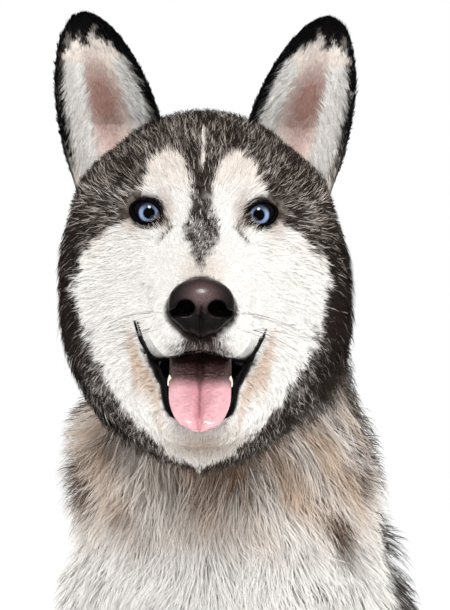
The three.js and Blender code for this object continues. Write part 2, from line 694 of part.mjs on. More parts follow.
// Rows of locks round a spine, each row half a lock out of step with the last. An angle of 0 points forward.
// Where skip is true of a foot, no lock grows.
function locksRound({ flesh, spine, rows, lie, size, seed, skip = () => false }) {
  const random = seeded(seed);
  const vary = (share) => 1 + share * (2 * random() - 1);
  const locks = [];
  rows.forEach(({ s, from, to, count }, row) => {
    for (let i = 0; i < count; i++) {
      const step = (to - from) / count;
      const angle = from + step * (i + (row % 2 ? 0.75 : 0.25) + 0.2 * (random() - 0.5));
      const { at, ahead, aside } = spine(s);
      const way = ahead.clone().multiplyScalar(Math.cos(angle)).addScaledVector(aside, Math.sin(angle));
      const foot = wayOut(flesh, at, way);
      const own = { ...size, length: size.length * vary(0.14), width: size.width * vary(0.12) };
      const turn = rad(16) * (2 * random() - 1);
      if (!skip(foot)) locks.push({ flesh, foot, lie, size: own, turn });
    }
  });
  return locks;
}

const forward = new THREE.Vector3(0, -1, 0);
const sideways = new THREE.Vector3(1, 0, 0);
const upward = new THREE.Vector3(0, 0, 1);
const straightSpine = (from, to) => (s) => ({
  at: new THREE.Vector3(...from).lerp(new THREE.Vector3(...to), s),
  ahead: forward,
  aside: sideways,
});
const evenRows = (places, from, to, count) => places.map((s) => ({ s, from: rad(from), to: rad(to), count }));

// Assembly
const root = new THREE.Group();
const headGroup = new THREE.Group();
headGroup.position.set(0, -EYE_FORWARD, EYE_HEIGHT);
headGroup.rotation.set(0, HEAD_ROLL, HEAD_TURN, "ZYX");
headGroup.updateMatrix();
root.add(headGroup);

// Makes points that lie close together one, and keeps the largest closed surface. The solid moves
// half a step there and back between rounds, so that close points don't stay apart at a step's edge.
const WELD = { step: 4e-3, rounds: 6 };
function welded(made) {
  let kept = largest(made);
  for (let round = 0; round < WELD.rounds; round++) {
    const shift = (round % 2 ? -0.5 : 0.5) * WELD.step;
    const moved = new THREE.Matrix4().makeTranslation(shift, shift, shift);
    kept = largest(solid(geometryOf(kept), moved, WELD.step));
  }
  return kept;
}

function addNode(group, name, made, colour, roughness = 0.8) {
  const material = new THREE.MeshStandardMaterial({ color: colour, roughness, metalness: 0 });
  const mesh = new THREE.Mesh(geometryOf(welded(made)), material);
  mesh.name = name;
  group.add(mesh);
}

// Head
const headXs = (() => {
  const half = axis(0, 116, 26, 0, 40, 12).slice(1);
  return [...half.map((x) => -x).reverse(), 0, ...half].map((x) => x + 0.01);
})();
const headYs = axis(-112, 138, 26, -112, -12, 12);
const headZs = axis(-184, 98, 26, -140, 20, 12);
const headFlesh = under(headMasses, (x, y, z) => COAT_DEPTH.cheek * smooth(y, 0, 35) * (1 - smooth(z, 0, 30)));
const headWhole = solid(netGeometry(without(headFlesh, mouthOpening, 5), headXs, headYs, headZs));
const headGrown = inflated(headWhole, CLEAR);
const JAW_CUT = { at: [0, MOUTH_CORNER.y - 1, MOUTH_CORNER.z], tilt: rad(31), size: [170, 120, 120] };
const jawBlock = (grow) => {
  const [wide, deep, tall] = JAW_CUT.size;
  const block = new THREE.BoxGeometry(wide + 2 * grow, deep + 2 * grow, tall + 2 * grow);
  return solid(block.translate(0, -deep / 2, -tall / 2).rotateX(JAW_CUT.tilt).translate(...JAW_CUT.at));
};
let head = headWhole.subtract(jawBlock(CUT)).add(lipSolid(upperLipHeight, 2.8).subtract(jawBlock(CUT)));
let jaw = headWhole.intersect(jawBlock(0)).add(lipSolid(lowerLipHeight, 2.8).intersect(jawBlock(0)));
for (const side of Object.values(sides)) {
  head = head.add(lidRim(side)).subtract(eyeOpening(side)).subtract(eyeball(EYE.radius + CUT + 0.1, side));
  jaw = jaw.add(canine(side));
}

const tongue = largest(tongueSolid().subtract(headGrown));
jaw = largest(jaw.subtract(inflated(tongue, CUT)));

// Cheek locks sweep back and down from behind the face over the ruff.
const cheekLocks = Object.values(sides).flatMap((side) =>
  locksRound({
    flesh: headFlesh,
    spine: (s) => ({ at: new THREE.Vector3(0, 34, -s), ahead: forward, aside: sideways }),
    rows: evenRows([44, 76, 106, 134], side * 70, side * 116, 1),
    lie: () => new THREE.Vector3(side * 0.25, 0.75, -0.6),
    size: LOCKS.cheek,
    seed: 15,
  }),
);

// Body
const headBite = solid(geometryOf(headGrown), headGroup.matrix);
const bodyCoat = (x, y, z) =>
  COAT_DEPTH.ruff * smooth(z, 255, 300) +
  COAT_DEPTH.rump * smooth(y, -120, -60) * smooth(z, 14, 60) * (1 - smooth(z, 255, 300));
const bodyFlesh = under(bodyField, bodyCoat);
const trunk = stretch(bodyFlesh, [-170, -440, -20], [170, 110, 640], 30);
const cores = new Map();
cores.set("neck", trunk.intersect(beyond(NECK_CUT.at, NECK_CUT.tilt)).subtract(headBite));
let chest = trunk.intersect(beyond(WAIST_CUT.at, WAIST_CUT.tilt)).subtract(beyond(NECK_CUT.at, NECK_CUT.tilt, CUT));
let rump = trunk.subtract(beyond(WAIST_CUT.at, WAIST_CUT.tilt, CUT));
for (const [label, side] of Object.entries(sides))
  for (const [name, { inner, y, z, near, step }] of Object.entries(limbs)) {
    const [lowX, highX] = side > 0 ? [near[0][0], near[1][0]] : [-near[1][0], -near[0][0]];
    const low = [lowX, near[0][1], near[0][2]];
    const high = [highX, near[1][1], near[1][2]];
    const limb = stretch(bodyFlesh, low, high, step).intersect(limbBox(side, inner, y, z, -0.01));
    cores.set(`${name}_${label}`, largest(limb));
    chest = chest.subtract(limbBox(side, inner, y, z, CUT));
    rump = rump.subtract(limbBox(side, inner, y, z, CUT));
  }
cores.set("chest", largest(chest));

// The rump rests on one flat face round the origin, a hair lower than the curve beside it.
const SEAT = { half: 17, front: -52, back: 6, step: 0.15 };
const seat = box([-SEAT.half - 3, SEAT.front, 0], [SEAT.half, SEAT.back, 12]);
cores.set("rump", largest(rump).trimByPlane([0, 0, 1], SEAT.step).add(seat));

// Tail
const tailCoat = (x, y, z) => COAT_DEPTH.tail * smooth(z, 6, 40);
const tailFlesh = under(tailField, tailCoat);
const tail = stretch(tailFlesh, [-60, -10, -20], [340, 220, 130], 24).subtract(inflated(cores.get("rump"), CLEAR));
const pastTailSplit = (grow) => box([TAIL.split[0], -FAR, -FAR], [FAR, FAR, FAR], grow);
cores.set("tail_base", largest(tail.subtract(pastTailSplit(CUT))));
cores.set("tail_brush", largest(tail.intersect(pastTailSplit(0))));

// The name of the trunk or limb node that a point of the body belongs to.
function nodeAt(p) {
  const label = p.x > 0 ? "left" : "right";
  const past = ({ at, tilt }) => (p.z - at[2]) * Math.cos(tilt) - (p.y - at[1]) * Math.sin(tilt) > 0;
  const within = ({ inner, y, z }) =>
    Math.abs(p.x) > inner && p.y < Math.max(...y) && p.y > Math.min(...y) && p.z > z[0] && p.z < z[1];
  const limb = Object.keys(limbs).find((name) => within(limbs[name]));
  if (limb) return `${limb}_${label}`;
  if (past(NECK_CUT)) return "neck";
  return past(WAIST_CUT) ? "chest" : "rump";
}

const nearHead = (p) => {
  const q = p.clone().applyMatrix4(headGroup.matrix.clone().invert());
  return headMasses(q.x, q.y, q.z) < 14;
};
const down = () => new THREE.Vector3(0, 0.12, -1);
const downBack = (p) => new THREE.Vector3(0.002 * p.x, 0.75, -0.7);
const bodyLocks = [
  ...locksRound({
    flesh: bodyFlesh,
    spine: straightSpine([0, -262, 462], [0, -325, 580]),
    rows: evenRows([0.15, 0.8], -180, 180, 8),
    lie: (p) => new THREE.Vector3(0.004 * p.x, 0.1 + 0.003 * (p.y + 290), -1),
    size: LOCKS.ruff,
    seed: 21,
    skip: nearHead,
  }),
  ...locksRound({
    flesh: bodyFlesh,
    spine: straightSpine([0, -200, 300], [0, -248, 430]),
    rows: evenRows([0.1, 0.75], -180, 180, 8),
    lie: (p) => new THREE.Vector3(0, 0.1 + 0.004 * (p.y + 330), -1),
    size: LOCKS.chest,
    seed: 31,
  }),
  ...locksRound({
    flesh: bodyFlesh,
    spine: straightSpine([0, -60, 130], [0, -120, 230]),
    rows: evenRows([0.15, 0.9], 95, 265, 4),
    lie: downBack,
    size: LOCKS.rump,
    seed: 41,
    skip: (p) => p.z < 60 || (Math.abs(p.x) < 40 && p.z < 130),
  }),
  ...Object.values(sides).flatMap((side) =>
    locksRound({
      flesh: bodyFlesh,
      spine: straightSpine([side * (RUMP_HALF + 4), -40, 60], [side * (RUMP_HALF + 4), -60, 170]),
      rows: evenRows([0.1, 0.9], side * 75, side * 165, 2),
      lie: () => new THREE.Vector3(side * 0.1, 0.5, -0.85),
      size: LOCKS.breeches,
      seed: 51,
    }),
  ),
  ...Object.values(sides).flatMap((side) =>
    locksRound({
      flesh: bodyFlesh,
      spine: straightSpine([side * (PAW.x + 6), -290, 170], [side * (PAW.x + 9), -278, 245]),
      rows: evenRows([0.1, 0.9], 165, 195, 1),
      lie: down,
      size: LOCKS.elbow,
      seed: 61,
    }),
  ),
];
const tailLocks = locksRound({
  flesh: tailFlesh,
  spine: (s) => {
    const along = tailPath.getTangent(s);
    const aside = new THREE.Vector3().crossVectors(along, upward).normalize();
    return { at: tailPath.getPoint(s), ahead: new THREE.Vector3().crossVectors(aside, along), aside };
  },
  rows: evenRows([0.14, 0.36, 0.58, 0.8], -118, 118, 3),
  lie: (p) => {
    const nearest = Array.from({ length: 41 }, (_, i) => i / 40).reduce((a, b) =>
      tailPath.getPoint(a).distanceTo(p) < tailPath.getPoint(b).distanceTo(p) ? a : b,
    );
    return tailPath.getTangent(nearest);
  },
  size: LOCKS.tail,
  seed: 71,
});

// Each lock belongs to the node that its foot stands on.
const locksOf = new Map([...cores.keys()].map((name) => [name, []]));
for (const lock of bodyLocks) locksOf.get(nodeAt(lock.foot)).push(lock);
for (const lock of tailLocks) locksOf.get(lock.foot.x > TAIL.split[0] ? "tail_brush" : "tail_base").push(lock);

const inHeadFrame = (made) => solid(geometryOf(made), headGroup.matrix.clone().invert());
const inBodyFrame = (made) => solid(geometryOf(made), headGroup.matrix);
const tufts = (locks, grow) => joined(locks.map((lock) => lockSolid(lock, grow)));
const clearOf = (made, tools) => tools.reduce((left, tool) => left.subtract(tool), made);
const grownCores = new Map([...cores].map(([name, core]) => [name, inflated(core, OVERLIE).add(core)]));

// The cheeks lie over the ruff, the ruff over the chest, and so on down the body to the tail.
const cheeks = clearOf(tufts(cheekLocks, 0), [inHeadFrame(grownCores.get("neck")), inflated(jaw, OVERLIE)]);
addNode(headGroup, "head", head.add(cheeks), COAT.white);
addNode(headGroup, "jaw", jaw, COAT.white);
addNode(headGroup, "nose", noseSolid.subtract(inflated(head, CLEAR)), BARE.nose, 0.35);
addNode(headGroup, "tongue", tongue, BARE.tongue, 0.3);
for (const [label, side] of Object.entries(sides)) {
  addNode(headGroup, `eye_${label}`, eyeball(EYE.radius, side), BARE.iris, 0.1);
  addNode(headGroup, `ear_${label}`, earSolid(side).subtract(headGrown), COAT.charcoal);
}
const above = [inBodyFrame(tufts(cheekLocks, OVERLIE)), headBite];
const colourOf = { neck: COAT.sable, chest: COAT.sable, rump: COAT.grey, tail_base: COAT.grey };
const lieOrder = ["neck", "chest", "rump", ...[...cores.keys()].filter((name) => /foreleg|hindleg|tail/.test(name))];
for (const name of new Set([...lieOrder, ...cores.keys()])) {
  const locks = locksOf.get(name);
  let made = cores.get(name);
  if (locks.length) {
    const others = [...grownCores].filter(([other]) => other !== name).map(([, core]) => core);
    made = made.add(clearOf(tufts(locks, 0), [...others, ...above]));
    above.push(tufts(locks, OVERLIE));
  }
  addNode(root, name, made.trimByPlane([0, 0, 1], 0), colourOf[name] ?? COAT.white);
}

export default root;
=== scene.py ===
"""A sitting Siberian husky at life size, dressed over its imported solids.

Shapes are worked out in millimetres in the part's own frame: +Z is up, the dog faces -Y and its left
side is +X. The head has a frame of its own, with its origin midway between the eyes. One skin is the zero
surface of a smooth field of rounded masses, drawn in by the depth of the coat, and the coat stands on it
as thin tapered blades of mesh, gathered in tufts that follow the lie of the fur.
"""

import math

import bpy
import numpy as np
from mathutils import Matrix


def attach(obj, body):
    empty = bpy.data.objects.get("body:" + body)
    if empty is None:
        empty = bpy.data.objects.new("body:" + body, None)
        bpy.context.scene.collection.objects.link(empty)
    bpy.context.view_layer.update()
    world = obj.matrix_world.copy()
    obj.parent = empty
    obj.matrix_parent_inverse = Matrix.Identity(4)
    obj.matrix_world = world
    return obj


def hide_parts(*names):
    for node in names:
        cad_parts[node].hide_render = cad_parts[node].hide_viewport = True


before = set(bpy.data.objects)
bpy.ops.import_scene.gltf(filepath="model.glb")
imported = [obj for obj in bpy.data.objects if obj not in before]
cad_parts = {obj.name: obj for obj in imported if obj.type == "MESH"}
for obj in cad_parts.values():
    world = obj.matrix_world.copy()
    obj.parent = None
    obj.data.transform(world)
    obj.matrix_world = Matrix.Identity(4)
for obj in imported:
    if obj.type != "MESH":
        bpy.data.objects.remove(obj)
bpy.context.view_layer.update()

MM = 0.001
QUICK_SHARE = 1.0

# Driving dimensions, as in the solids
EYE_HEIGHT = 650.0
EYE_FORWARD = 405.0
HEAD_TURN = math.radians(8.5)
HEAD_ROLL = math.radians(1)
CHEST_HALF = 90.0
NECK_HALF = 93.0
RUMP_HALF = 92.0
PAW = (64.0, -335.0)
HIND_PAW = (112.0, -190.0)

# Linear colours
WHITE = (0.79, 0.77, 0.74)
CREAM = (0.58, 0.435, 0.33)
TAN = (0.30, 0.19, 0.13)
GREY = (0.12, 0.108, 0.105)
DARK = (0.0050, 0.0046, 0.0050)
BROWN = (0.078, 0.042, 0.024)
CREAM_GREY = (0.27, 0.22, 0.185)
# Painted shadow: beige on the chin below the tongue.
CHIN_SHADOW_BEIGE = (0.29, 0.225, 0.175)
# Black of the lips, and painted shade inside the mouth.
MOUTH_BLACK_AND_SHADE = (0.010, 0.004, 0.004)
LID_BLACK = (0.0025, 0.0018, 0.0018)
LID_EDGE = (0.012, 0.009, 0.009)
LIP_BLACK = (0.0030, 0.0024, 0.0026)
NOSE_BED = (0.004, 0.003, 0.003)
NOSE_BLACK = (0.0075, 0.0055, 0.0055)
# The snow nose's pinkish brown with a painted highlight, and painted shade in the nostrils.
NOSE_PINK_AND_HIGHLIGHT = (0.15, 0.095, 0.095)
NOSTRIL_SHADE = (0.003, 0.002, 0.002)
EAR_CREAM = (0.78, 0.70, 0.63)
EAR_PINK = (0.74, 0.54, 0.50)
EAR_BROWN = (0.30, 0.175, 0.145)
IRIS_DARK, IRIS_BLUE, IRIS_PALE = (0.075, 0.115, 0.215), (0.20, 0.27, 0.43), (0.34, 0.42, 0.56)
PUPIL_BLACK, IRIS_RIM, EYE_DARK = (0.001, 0.001, 0.001), (0.002, 0.003, 0.006), (0.004, 0.003, 0.003)
TONGUE_ROSE, TONGUE_PINK = (0.56, 0.26, 0.29), (0.64, 0.35, 0.38)
# Painted shade: the furrow's darker red in its groove, and the back's near black deep in the mouth.
TONGUE_FURROW_SHADE, TONGUE_SHADOW = (0.20, 0.045, 0.055), (0.035, 0.012, 0.012)
TOOTH_WHITE = (0.78, 0.72, 0.60)
CLAW_BROWN = (0.045, 0.035, 0.030)
WHISKER_GREY = (0.20, 0.19, 0.18)


# Fields

def smooth(value, low, high):
    """0 below low and 1 above high, with a smooth step 3t^2 - 2t^3 between them."""
    t = np.clip((value - low) / (high - low), 0.0, 1.0)
    return t * t * (3 - 2 * t)


def fade(value, low, high):
    """1 below low and 0 above high, by the same step."""
    return 1 - smooth(value, low, high)


def band(value, low, rise, fall, high):
    """1 from rise to fall, and 0 below low and above high."""
    return smooth(value, low, rise) * fade(value, fall, high)


def ellipsoid(centre, radii, pitch=0.0):
    """Field of an ellipsoid pitched about X: k(k - 1) / |grad k|, with k the length of p / radii."""
    c, s = math.cos(pitch), math.sin(pitch)
    rx, ry, rz = radii

    def field(x, y, z):
        py, pz = y - centre[1], z - centre[2]
        a = (x - centre[0]) / rx
        b = (c * py + s * pz) / ry
        d = (c * pz - s * py) / rz
        reach = np.sqrt(a * a + b * b + d * d) + 1e-6
        slope = np.sqrt((a / rx) ** 2 + (b / ry) ** 2 + (d / rz) ** 2) + 1e-8
        return reach * (reach - 1) / slope

    return field


def round_cone(start, end, start_radius, end_radius):
    """Field of a cone with round ends, from a sphere at start to a sphere at end."""
    dx, dy, dz = (b - a for a, b in zip(start, end))
    l2 = dx * dx + dy * dy + dz * dz
    rr = start_radius - end_radius
    a2 = l2 - rr * rr

    def field(x, y, z):
        px, py, pz = x - start[0], y - start[1], z - start[2]
        along = px * dx + py * dy + pz * dz
        past = along - l2
        x2 = (px * l2 - dx * along) ** 2 + (py * l2 - dy * along) ** 2 + (pz * l2 - dz * along) ** 2
        y2, z2 = along * along * l2, past * past * l2
        k = np.sign(rr) * rr * rr * x2
        side = (np.sqrt(x2 * a2 / l2) + along * rr) / l2 - start_radius
        near = np.sqrt(x2 + y2) / l2 - start_radius
        far = np.sqrt(x2 + z2) / l2 - end_radius
        return np.where(np.sign(past) * a2 * z2 > k, far, np.where(np.sign(along) * a2 * y2 < k, near, side))

    return field


def pair(field):
    """The same mass on both sides of the middle."""
    return lambda x, y, z: field(np.abs(x), y, z)


def join(a, b, width):
    """Smooth minimum: the lower of two fields, rounded by h^2 w / 4 with h = 1 - |a - b| / w."""
    h = np.maximum(width - np.abs(a - b), 0) / width
    return np.minimum(a, b) - h * h * width / 4


def melt(masses):
    """Joins masses, each with the width over which it melts into those before it."""

    def field(x, y, z):
        d = masses[0][0](x, y, z)
        for mass, width in masses[1:]:
            d = join(d, mass(x, y, z), width)
        return d

    return field


def carve(a, tool, width):
    """Smooth difference of a field and a tool's field."""
    return -join(-a, tool, width)


def slope_of(field, p, e=0.4):
    """Gradient of a field at points, by central differences of e millimetres."""
    x, y, z = p[:, 0], p[:, 1], p[:, 2]
    return np.stack([
        field(x + e, y, z) - field(x - e, y, z),
        field(x, y + e, z) - field(x, y - e, z),
        field(x, y, z + e) - field(x, y, z - e),
    ], axis=1) / (2 * e)


def settle(field, p, value=0.0, steps=2, most=4.0):
    """Newton steps p + g (value - f) / |g|^2 that bring points to where the field has the value."""
    for _ in range(steps):
        g = slope_of(field, p)
        away = (value - field(p[:, 0], p[:, 1], p[:, 2])) / (np.sum(g * g, axis=1) + 1e-6)
        p = p + g * np.clip(away, -most, most)[:, None]
    return p


def unit(v):
    """Vectors scaled to length 1."""
    return v / (np.linalg.norm(v, axis=-1, keepdims=True) + 1e-9)


def wander(p, size, seed, waves=7):
    """Smooth noise from -1 to 1: a sum of sines whose wave vectors have random directions."""
    rng = np.random.default_rng(seed)
    k = unit(rng.normal(size=(waves, 3))) * (2 * np.pi / size) * rng.uniform(0.6, 1.6, (waves, 1))
    phase = rng.uniform(0, 2 * np.pi, waves)
    return np.clip(np.sin(p @ k.T + phase).sum(axis=1) / math.sqrt(waves) * 0.9, -1, 1)


def blend(a, b, share):
    """Mixes two colours, each a triple or one row per point, by a share per point."""
    share = np.asarray(share)[..., None]
    return np.asarray(a) * (1 - share) + np.asarray(b) * share


# The head's frame

def turn_and_roll(turn, roll):
    """Rotation that rolls about Y and then turns about Z."""
    ct, st = math.cos(turn), math.sin(turn)
    cr, sr = math.cos(roll), math.sin(roll)
    about_z = np.array([[ct, -st, 0], [st, ct, 0], [0, 0, 1]])
    about_y = np.array([[cr, 0, sr], [0, 1, 0], [-sr, 0, cr]])
    return about_z @ about_y


def along_axes(axes, x, y, z):
    """Coordinates of (x, y, z) along the columns of a rotation."""
    return [axes[0, n] * x + axes[1, n] * y + axes[2, n] * z for n in range(3)]


HEAD_TURNED = turn_and_roll(HEAD_TURN, HEAD_ROLL)
HEAD_AT = np.array([0.0, -EYE_FORWARD, EYE_HEIGHT])


def to_head(p):
    """Points of the part's frame in the head's frame."""
    return (p - HEAD_AT) @ HEAD_TURNED


def from_head(p):
    """Points of the head's frame in the part's frame."""
    return p @ HEAD_TURNED.T + HEAD_AT


# Head masses, in the head's frame: each lip's height is given across the face

MOUTH_BACK_Y, MOUTH_CORNER_Z = -22.0, -67.0
LIP_INSET = 0.5
UPPER_LIP_X = (0.0, 9.0, 17.0, 25.0, 28.0, 32.0, 35.0, 39.0, 43.0, 47.0)
UPPER_LIP_Z = (-86.0, -88.0, -91.6, -93.0, -93.0, -90.0, -86.0, -79.0, -67.0, -60.0)
LOWER_LIP_X = (0.0, 14.0, 18.5, 21.0, 22.5, 24.0, 28.5, 34.0, 38.5, 43.0, 47.0)
LOWER_LIP_Z = (-127.0, -127.0, -125.5, -122.0, -117.0, -108.0, -100.0, -91.6, -82.0, -68.0, -60.0)
NOSE_Y, NOSE_Z = -91.0, -60.0
EYE_MIDDLE = 0.6
EYE_X, EYE_Y, EYE_Z, EYE_RADIUS = 34.4, -6.5, -0.6, 11.0
LID_HALF, LID_TALL = 8.0, 6.5
LID_SLANT = math.radians(16)
LID_OUTWARD = math.radians(15)

head_masses = melt([
    (ellipsoid((0, 42, 2), (74, 64, 60.5)), 20),
    (ellipsoid((0, 28, 18), (52, 42, 44)), 22),
    (pair(ellipsoid((55.5, 45, -12), (33, 42, 44))), 20),
    (pair(ellipsoid((46, 38, -60), (49, 50, 74))), 26),
    (ellipsoid((0, 15, -106), (60, 55, 54)), 26),
    (pair(ellipsoid((38, 24, -22), (33, 34, 30))), 16),
    (pair(ellipsoid((27, 9, 18), (20, 16, 12))), 10),
    (round_cone((0, -2, -40), (0, -71, -65), 40, 22), 20),
    (round_cone((0, -14, -15), (0, -77, -54), 18, 13), 12),
    (pair(ellipsoid((15, -66, -72), (17, 22, 19))), 10),
    (pair(round_cone((36, 4, -90), (14, -66, -126), 30, 15)), 22),
    (ellipsoid((0, -74, -131), (19, 17, 14)), 12),
])


def upper_lip(x):
    """Height of the upper lip's edge across the face: lowest at each side of the nose, and steep towards
    the corner of the mouth."""
    return np.interp(np.abs(x), UPPER_LIP_X, UPPER_LIP_Z)


def lower_lip(x):
    """Height of the lower lip's edge across the face."""
    return np.interp(np.abs(x), LOWER_LIP_X, LOWER_LIP_Z)


def beside(x, z, lip, step=1.5):
    """Distance above a lip's edge, from its height and its slope."""
    slope = (lip(np.abs(x) + step) - lip(np.abs(x) - step)) / (2 * step)
    return (z - lip(x)) / np.sqrt(1 + slope ** 2)


mouth_hollow = ellipsoid((0, -38, -86), (20, 32, 12), math.radians(32))


def mouth_opening(x, y, z):
    """Field of the open mouth: between the lips' edges, in front of the corners, over a sloping floor."""
    between = np.maximum(beside(x, z, upper_lip), -beside(x, z, lower_lip))
    floor = 0.72 * (MOUTH_CORNER_Z - 12 + 0.95 * (y - MOUTH_BACK_Y) - z)
    gap = np.maximum(np.maximum(between, floor), y - MOUTH_BACK_Y)
    return join(gap, mouth_hollow(x, y, z), 6)


def eye_axes(side):
    """Columns: an eye's own X towards its outer corner, its Y into the head and its Z up."""
    return turn_and_roll(side * LID_OUTWARD, -side * LID_SLANT)


EYE_AXES = eye_axes(1)
lid_gap = ellipsoid((0, -EYE_RADIUS, 0), (LID_HALF + 2.0, 13, LID_TALL + 1.8))


def eye_gap(x, y, z):
    """Field of the gap between the lids, on both sides."""
    aside = np.abs(x - EYE_MIDDLE) - EYE_X
    return lid_gap(*along_axes(EYE_AXES, aside, y - EYE_Y, z - EYE_Z))


def head_depth(x, y, z):
    """Depth of the coat over the head's skin: almost none on the muzzle and round the mouth, deepest on
    cheeks and nape."""
    back = smooth(y, 0, 45)
    cheek = back * fade(z, -8, 38) * smooth(np.abs(x), 20, 55) * smooth(mouth_opening(x, y, z), 2, 26)
    crown = smooth(z, 12, 45) * smooth(y, -10, 25)
    nape = smooth(y, 50, 110)
    throat = fade(z, -150, -118) * back
    return 1.0 + 1.6 * smooth(y, -60, 0) + 9.5 * cheek + 4.5 * crown + 5 * nape + 5 * throat


def head_under_coat(x, y, z):
    """The head's masses drawn in by the depth of its coat."""
    return head_masses(x, y, z) + head_depth(x, y, z)


def head_flesh(x, y, z):
    """The head inside its coat, with the mouth and the gaps for the eyes cut out."""
    whole = carve(head_under_coat(x, y, z), mouth_opening(x, y, z) + LIP_INSET, 3)
    return carve(whole, eye_gap(x, y, z), 2)


# Body masses

ELBOW = (PAW[0] + 10, -272, 290)
WRIST = (PAW[0] + 2, -306, 95)
HOCK = (HIND_PAW[0] - 4, -38, 40)
KNEE = (HIND_PAW[0] + 2, -172, 140)
TOES = ((-20, 20), (-7, 30), (7, 30), (20, 20))


def paw_masses(x, y):
    """A rounded pad and four toes, the middle two further forward."""
    toes = [(pair(ellipsoid((x + dx, y - ahead, 19), (9.5, 20, 18))), 6) for dx, ahead in TOES]
    return [(pair(ellipsoid((x, y + 4, 26), (30, 34, 27))), 8)] + toes


body_masses = melt([
    (ellipsoid((0, -258, 372), (CHEST_HALF, 112, 168), math.radians(31)), 30),
    (ellipsoid((0, -150, 235), (CHEST_HALF - 6, 100, 140), math.radians(42)), 40),
    (ellipsoid((0, -30, 108), (RUMP_HALF, 98, 118), math.radians(12)), 50),
    (pair(ellipsoid((36, -322, 385), (44, 56, 92), math.radians(8))), 40),
    (pair(ellipsoid((50, -285, 400), (42, 62, 108), math.radians(14))), 36),
    (ellipsoid((0, -245, 478), (66, 74, 66)), 44),
    (pair(ellipsoid((60, -206, 360), (64, 62, 112))), 30),
    (round_cone((0, -285, 455), (0, -352, 590), NECK_HALF, 91), 40),
    (pair(round_cone((65, -312, 395), ELBOW, 43, 37)), 36),
    (pair(round_cone(ELBOW, WRIST, 34, 25)), 20),
    (pair(round_cone(WRIST, (PAW[0], -320, 34), 25, 27)), 10),
    (pair(ellipsoid((RUMP_HALF + 2, -78, 128), (50, 108, 96), math.radians(-30))), 36),
    (pair(ellipsoid((RUMP_HALF + 12, -150, 160), (42, 62, 60), math.radians(-30))), 30),
    (pair(round_cone(KNEE, HOCK, 34, 24)), 20),
    (pair(round_cone(HOCK, (HIND_PAW[0], -160, 26), 24, 25)), 14),
] + paw_masses(*PAW) + paw_masses(*HIND_PAW))


def body_depth(x, y, z):
    """Depth of the coat over the body's skin: a few millimetres on the legs, a finger's breadth above."""
    front = fade(y, -235, -185)
    upper_front = 3.0 + 15 * smooth(z, 225, 330)
    upper_back = 3.0 + 11 * smooth(z, 40, 140)
    return (front * upper_front + (1 - front) * upper_back) * smooth(z, 0, 14)


def body_flesh(x, y, z):
    """The body inside its coat."""
    return body_masses(x, y, z) + body_depth(x, y, z)


HEAD_MELT = 26.0
SOLE_Z = 0.6


def skin_field(x, y, z):
    """The one skin of head and body, flat where it rests on the floor."""
    head = along_axes(HEAD_TURNED, x - HEAD_AT[0], y - HEAD_AT[1], z - HEAD_AT[2])
    whole = join(body_flesh(x, y, z), head_flesh(*head), HEAD_MELT)
    return np.maximum(whole, SOLE_Z - z)


# Surfaces from fields

def graded(low, high, coarse, fine_low, fine_high, fine):
    """Grid lines from low to high, fine between two places and coarse elsewhere."""

    def run(a, b, step):
        return np.linspace(a, b, max(2, int(round((b - a) / step)) + 1))

    below, above = run(low, fine_low, coarse)[:-1], run(fine_high, high, coarse)[1:]
    return np.concatenate([below, run(fine_low, fine_high, fine), above])


CELL_EDGES = [
    ((0, 0, 0), (1, 0, 0)), ((0, 1, 0), (1, 1, 0)), ((0, 0, 1), (1, 0, 1)), ((0, 1, 1), (1, 1, 1)),
    ((0, 0, 0), (0, 1, 0)), ((1, 0, 0), (1, 1, 0)), ((0, 0, 1), (0, 1, 1)), ((1, 0, 1), (1, 1, 1)),
    ((0, 0, 0), (0, 0, 1)), ((1, 0, 0), (1, 0, 1)), ((0, 1, 0), (0, 1, 1)), ((1, 1, 0), (1, 1, 1)),
]


def surface_net(field, xs, ys, zs, settle_steps=2):
    """Quads of a field's zero surface: one point in each grid cell that the surface crosses, at the mean
    of the crossings on the cell's edges, and one quad round each grid edge that it crosses."""
    values = field(xs[:, None, None], ys[None, :, None], zs[None, None, :]).astype(np.float32)
    inside = values < 0
    ends = (slice(None, -1), slice(1, None))
    corners = sum(inside[a, b, c].astype(np.int8) for a in ends for b in ends for c in ends)
    mixed = (corners > 0) & (corners < 8)
    index = np.full(mixed.shape, -1, dtype=np.int64)
    index[mixed] = np.arange(mixed.sum())
    cells = np.argwhere(mixed)
    lines = (xs, ys, zs)
    total = np.zeros((len(cells), 3))
    count = np.zeros(len(cells))
    for a, b in CELL_EDGES:
        ca, cb = cells + a, cells + b
        va, vb = values[tuple(ca.T)], values[tuple(cb.T)]
        crossed = (va < 0) != (vb < 0)
        t = np.where(crossed, va / np.where(crossed, va - vb, 1), 0)[:, None]
        pa = np.stack([lines[n][ca[:, n]] for n in range(3)], axis=1)
        pb = np.stack([lines[n][cb[:, n]] for n in range(3)], axis=1)
        total += crossed[:, None] * (pa + t * (pb - pa))
        count += crossed
    points = total / count[:, None]
    quads = []
    for n in range(3):
        u, v = (n + 1) % 3, (n + 2) % 3
        first = [slice(1, -1)] * 3
        second = [slice(1, -1)] * 3
        first[n], second[n] = slice(None, -1), slice(1, None)
        change = inside[tuple(first)] != inside[tuple(second)]
        at = np.argwhere(change)
        at[:, u] += 1
        at[:, v] += 1
        leaving = inside[tuple(at.T)]
        around = []
        for du, dv in ((-1, -1), (0, -1), (0, 0), (-1, 0)):
            cell = at.copy()
            cell[:, u] += du
            cell[:, v] += dv
            around.append(index[tuple(cell.T)])
        ring = np.stack(around, axis=1)
        quads.append(np.where(leaving[:, None], ring, ring[:, ::-1]))
    return settle(field, points, steps=settle_steps), np.concatenate(quads)


def grid_faces(rows, columns, closed=False, first=0):
    """Quads of a grid of points in rows, its columns closed into a ring where asked."""
    r, c = np.meshgrid(np.arange(rows - 1), np.arange(columns if closed else columns - 1), indexing="ij")
    d = (c + 1) % columns
    low, high = r * columns, (r + 1) * columns
    return np.stack([low + c, low + d, high + d, high + c], axis=-1).reshape(-1, 4) + first


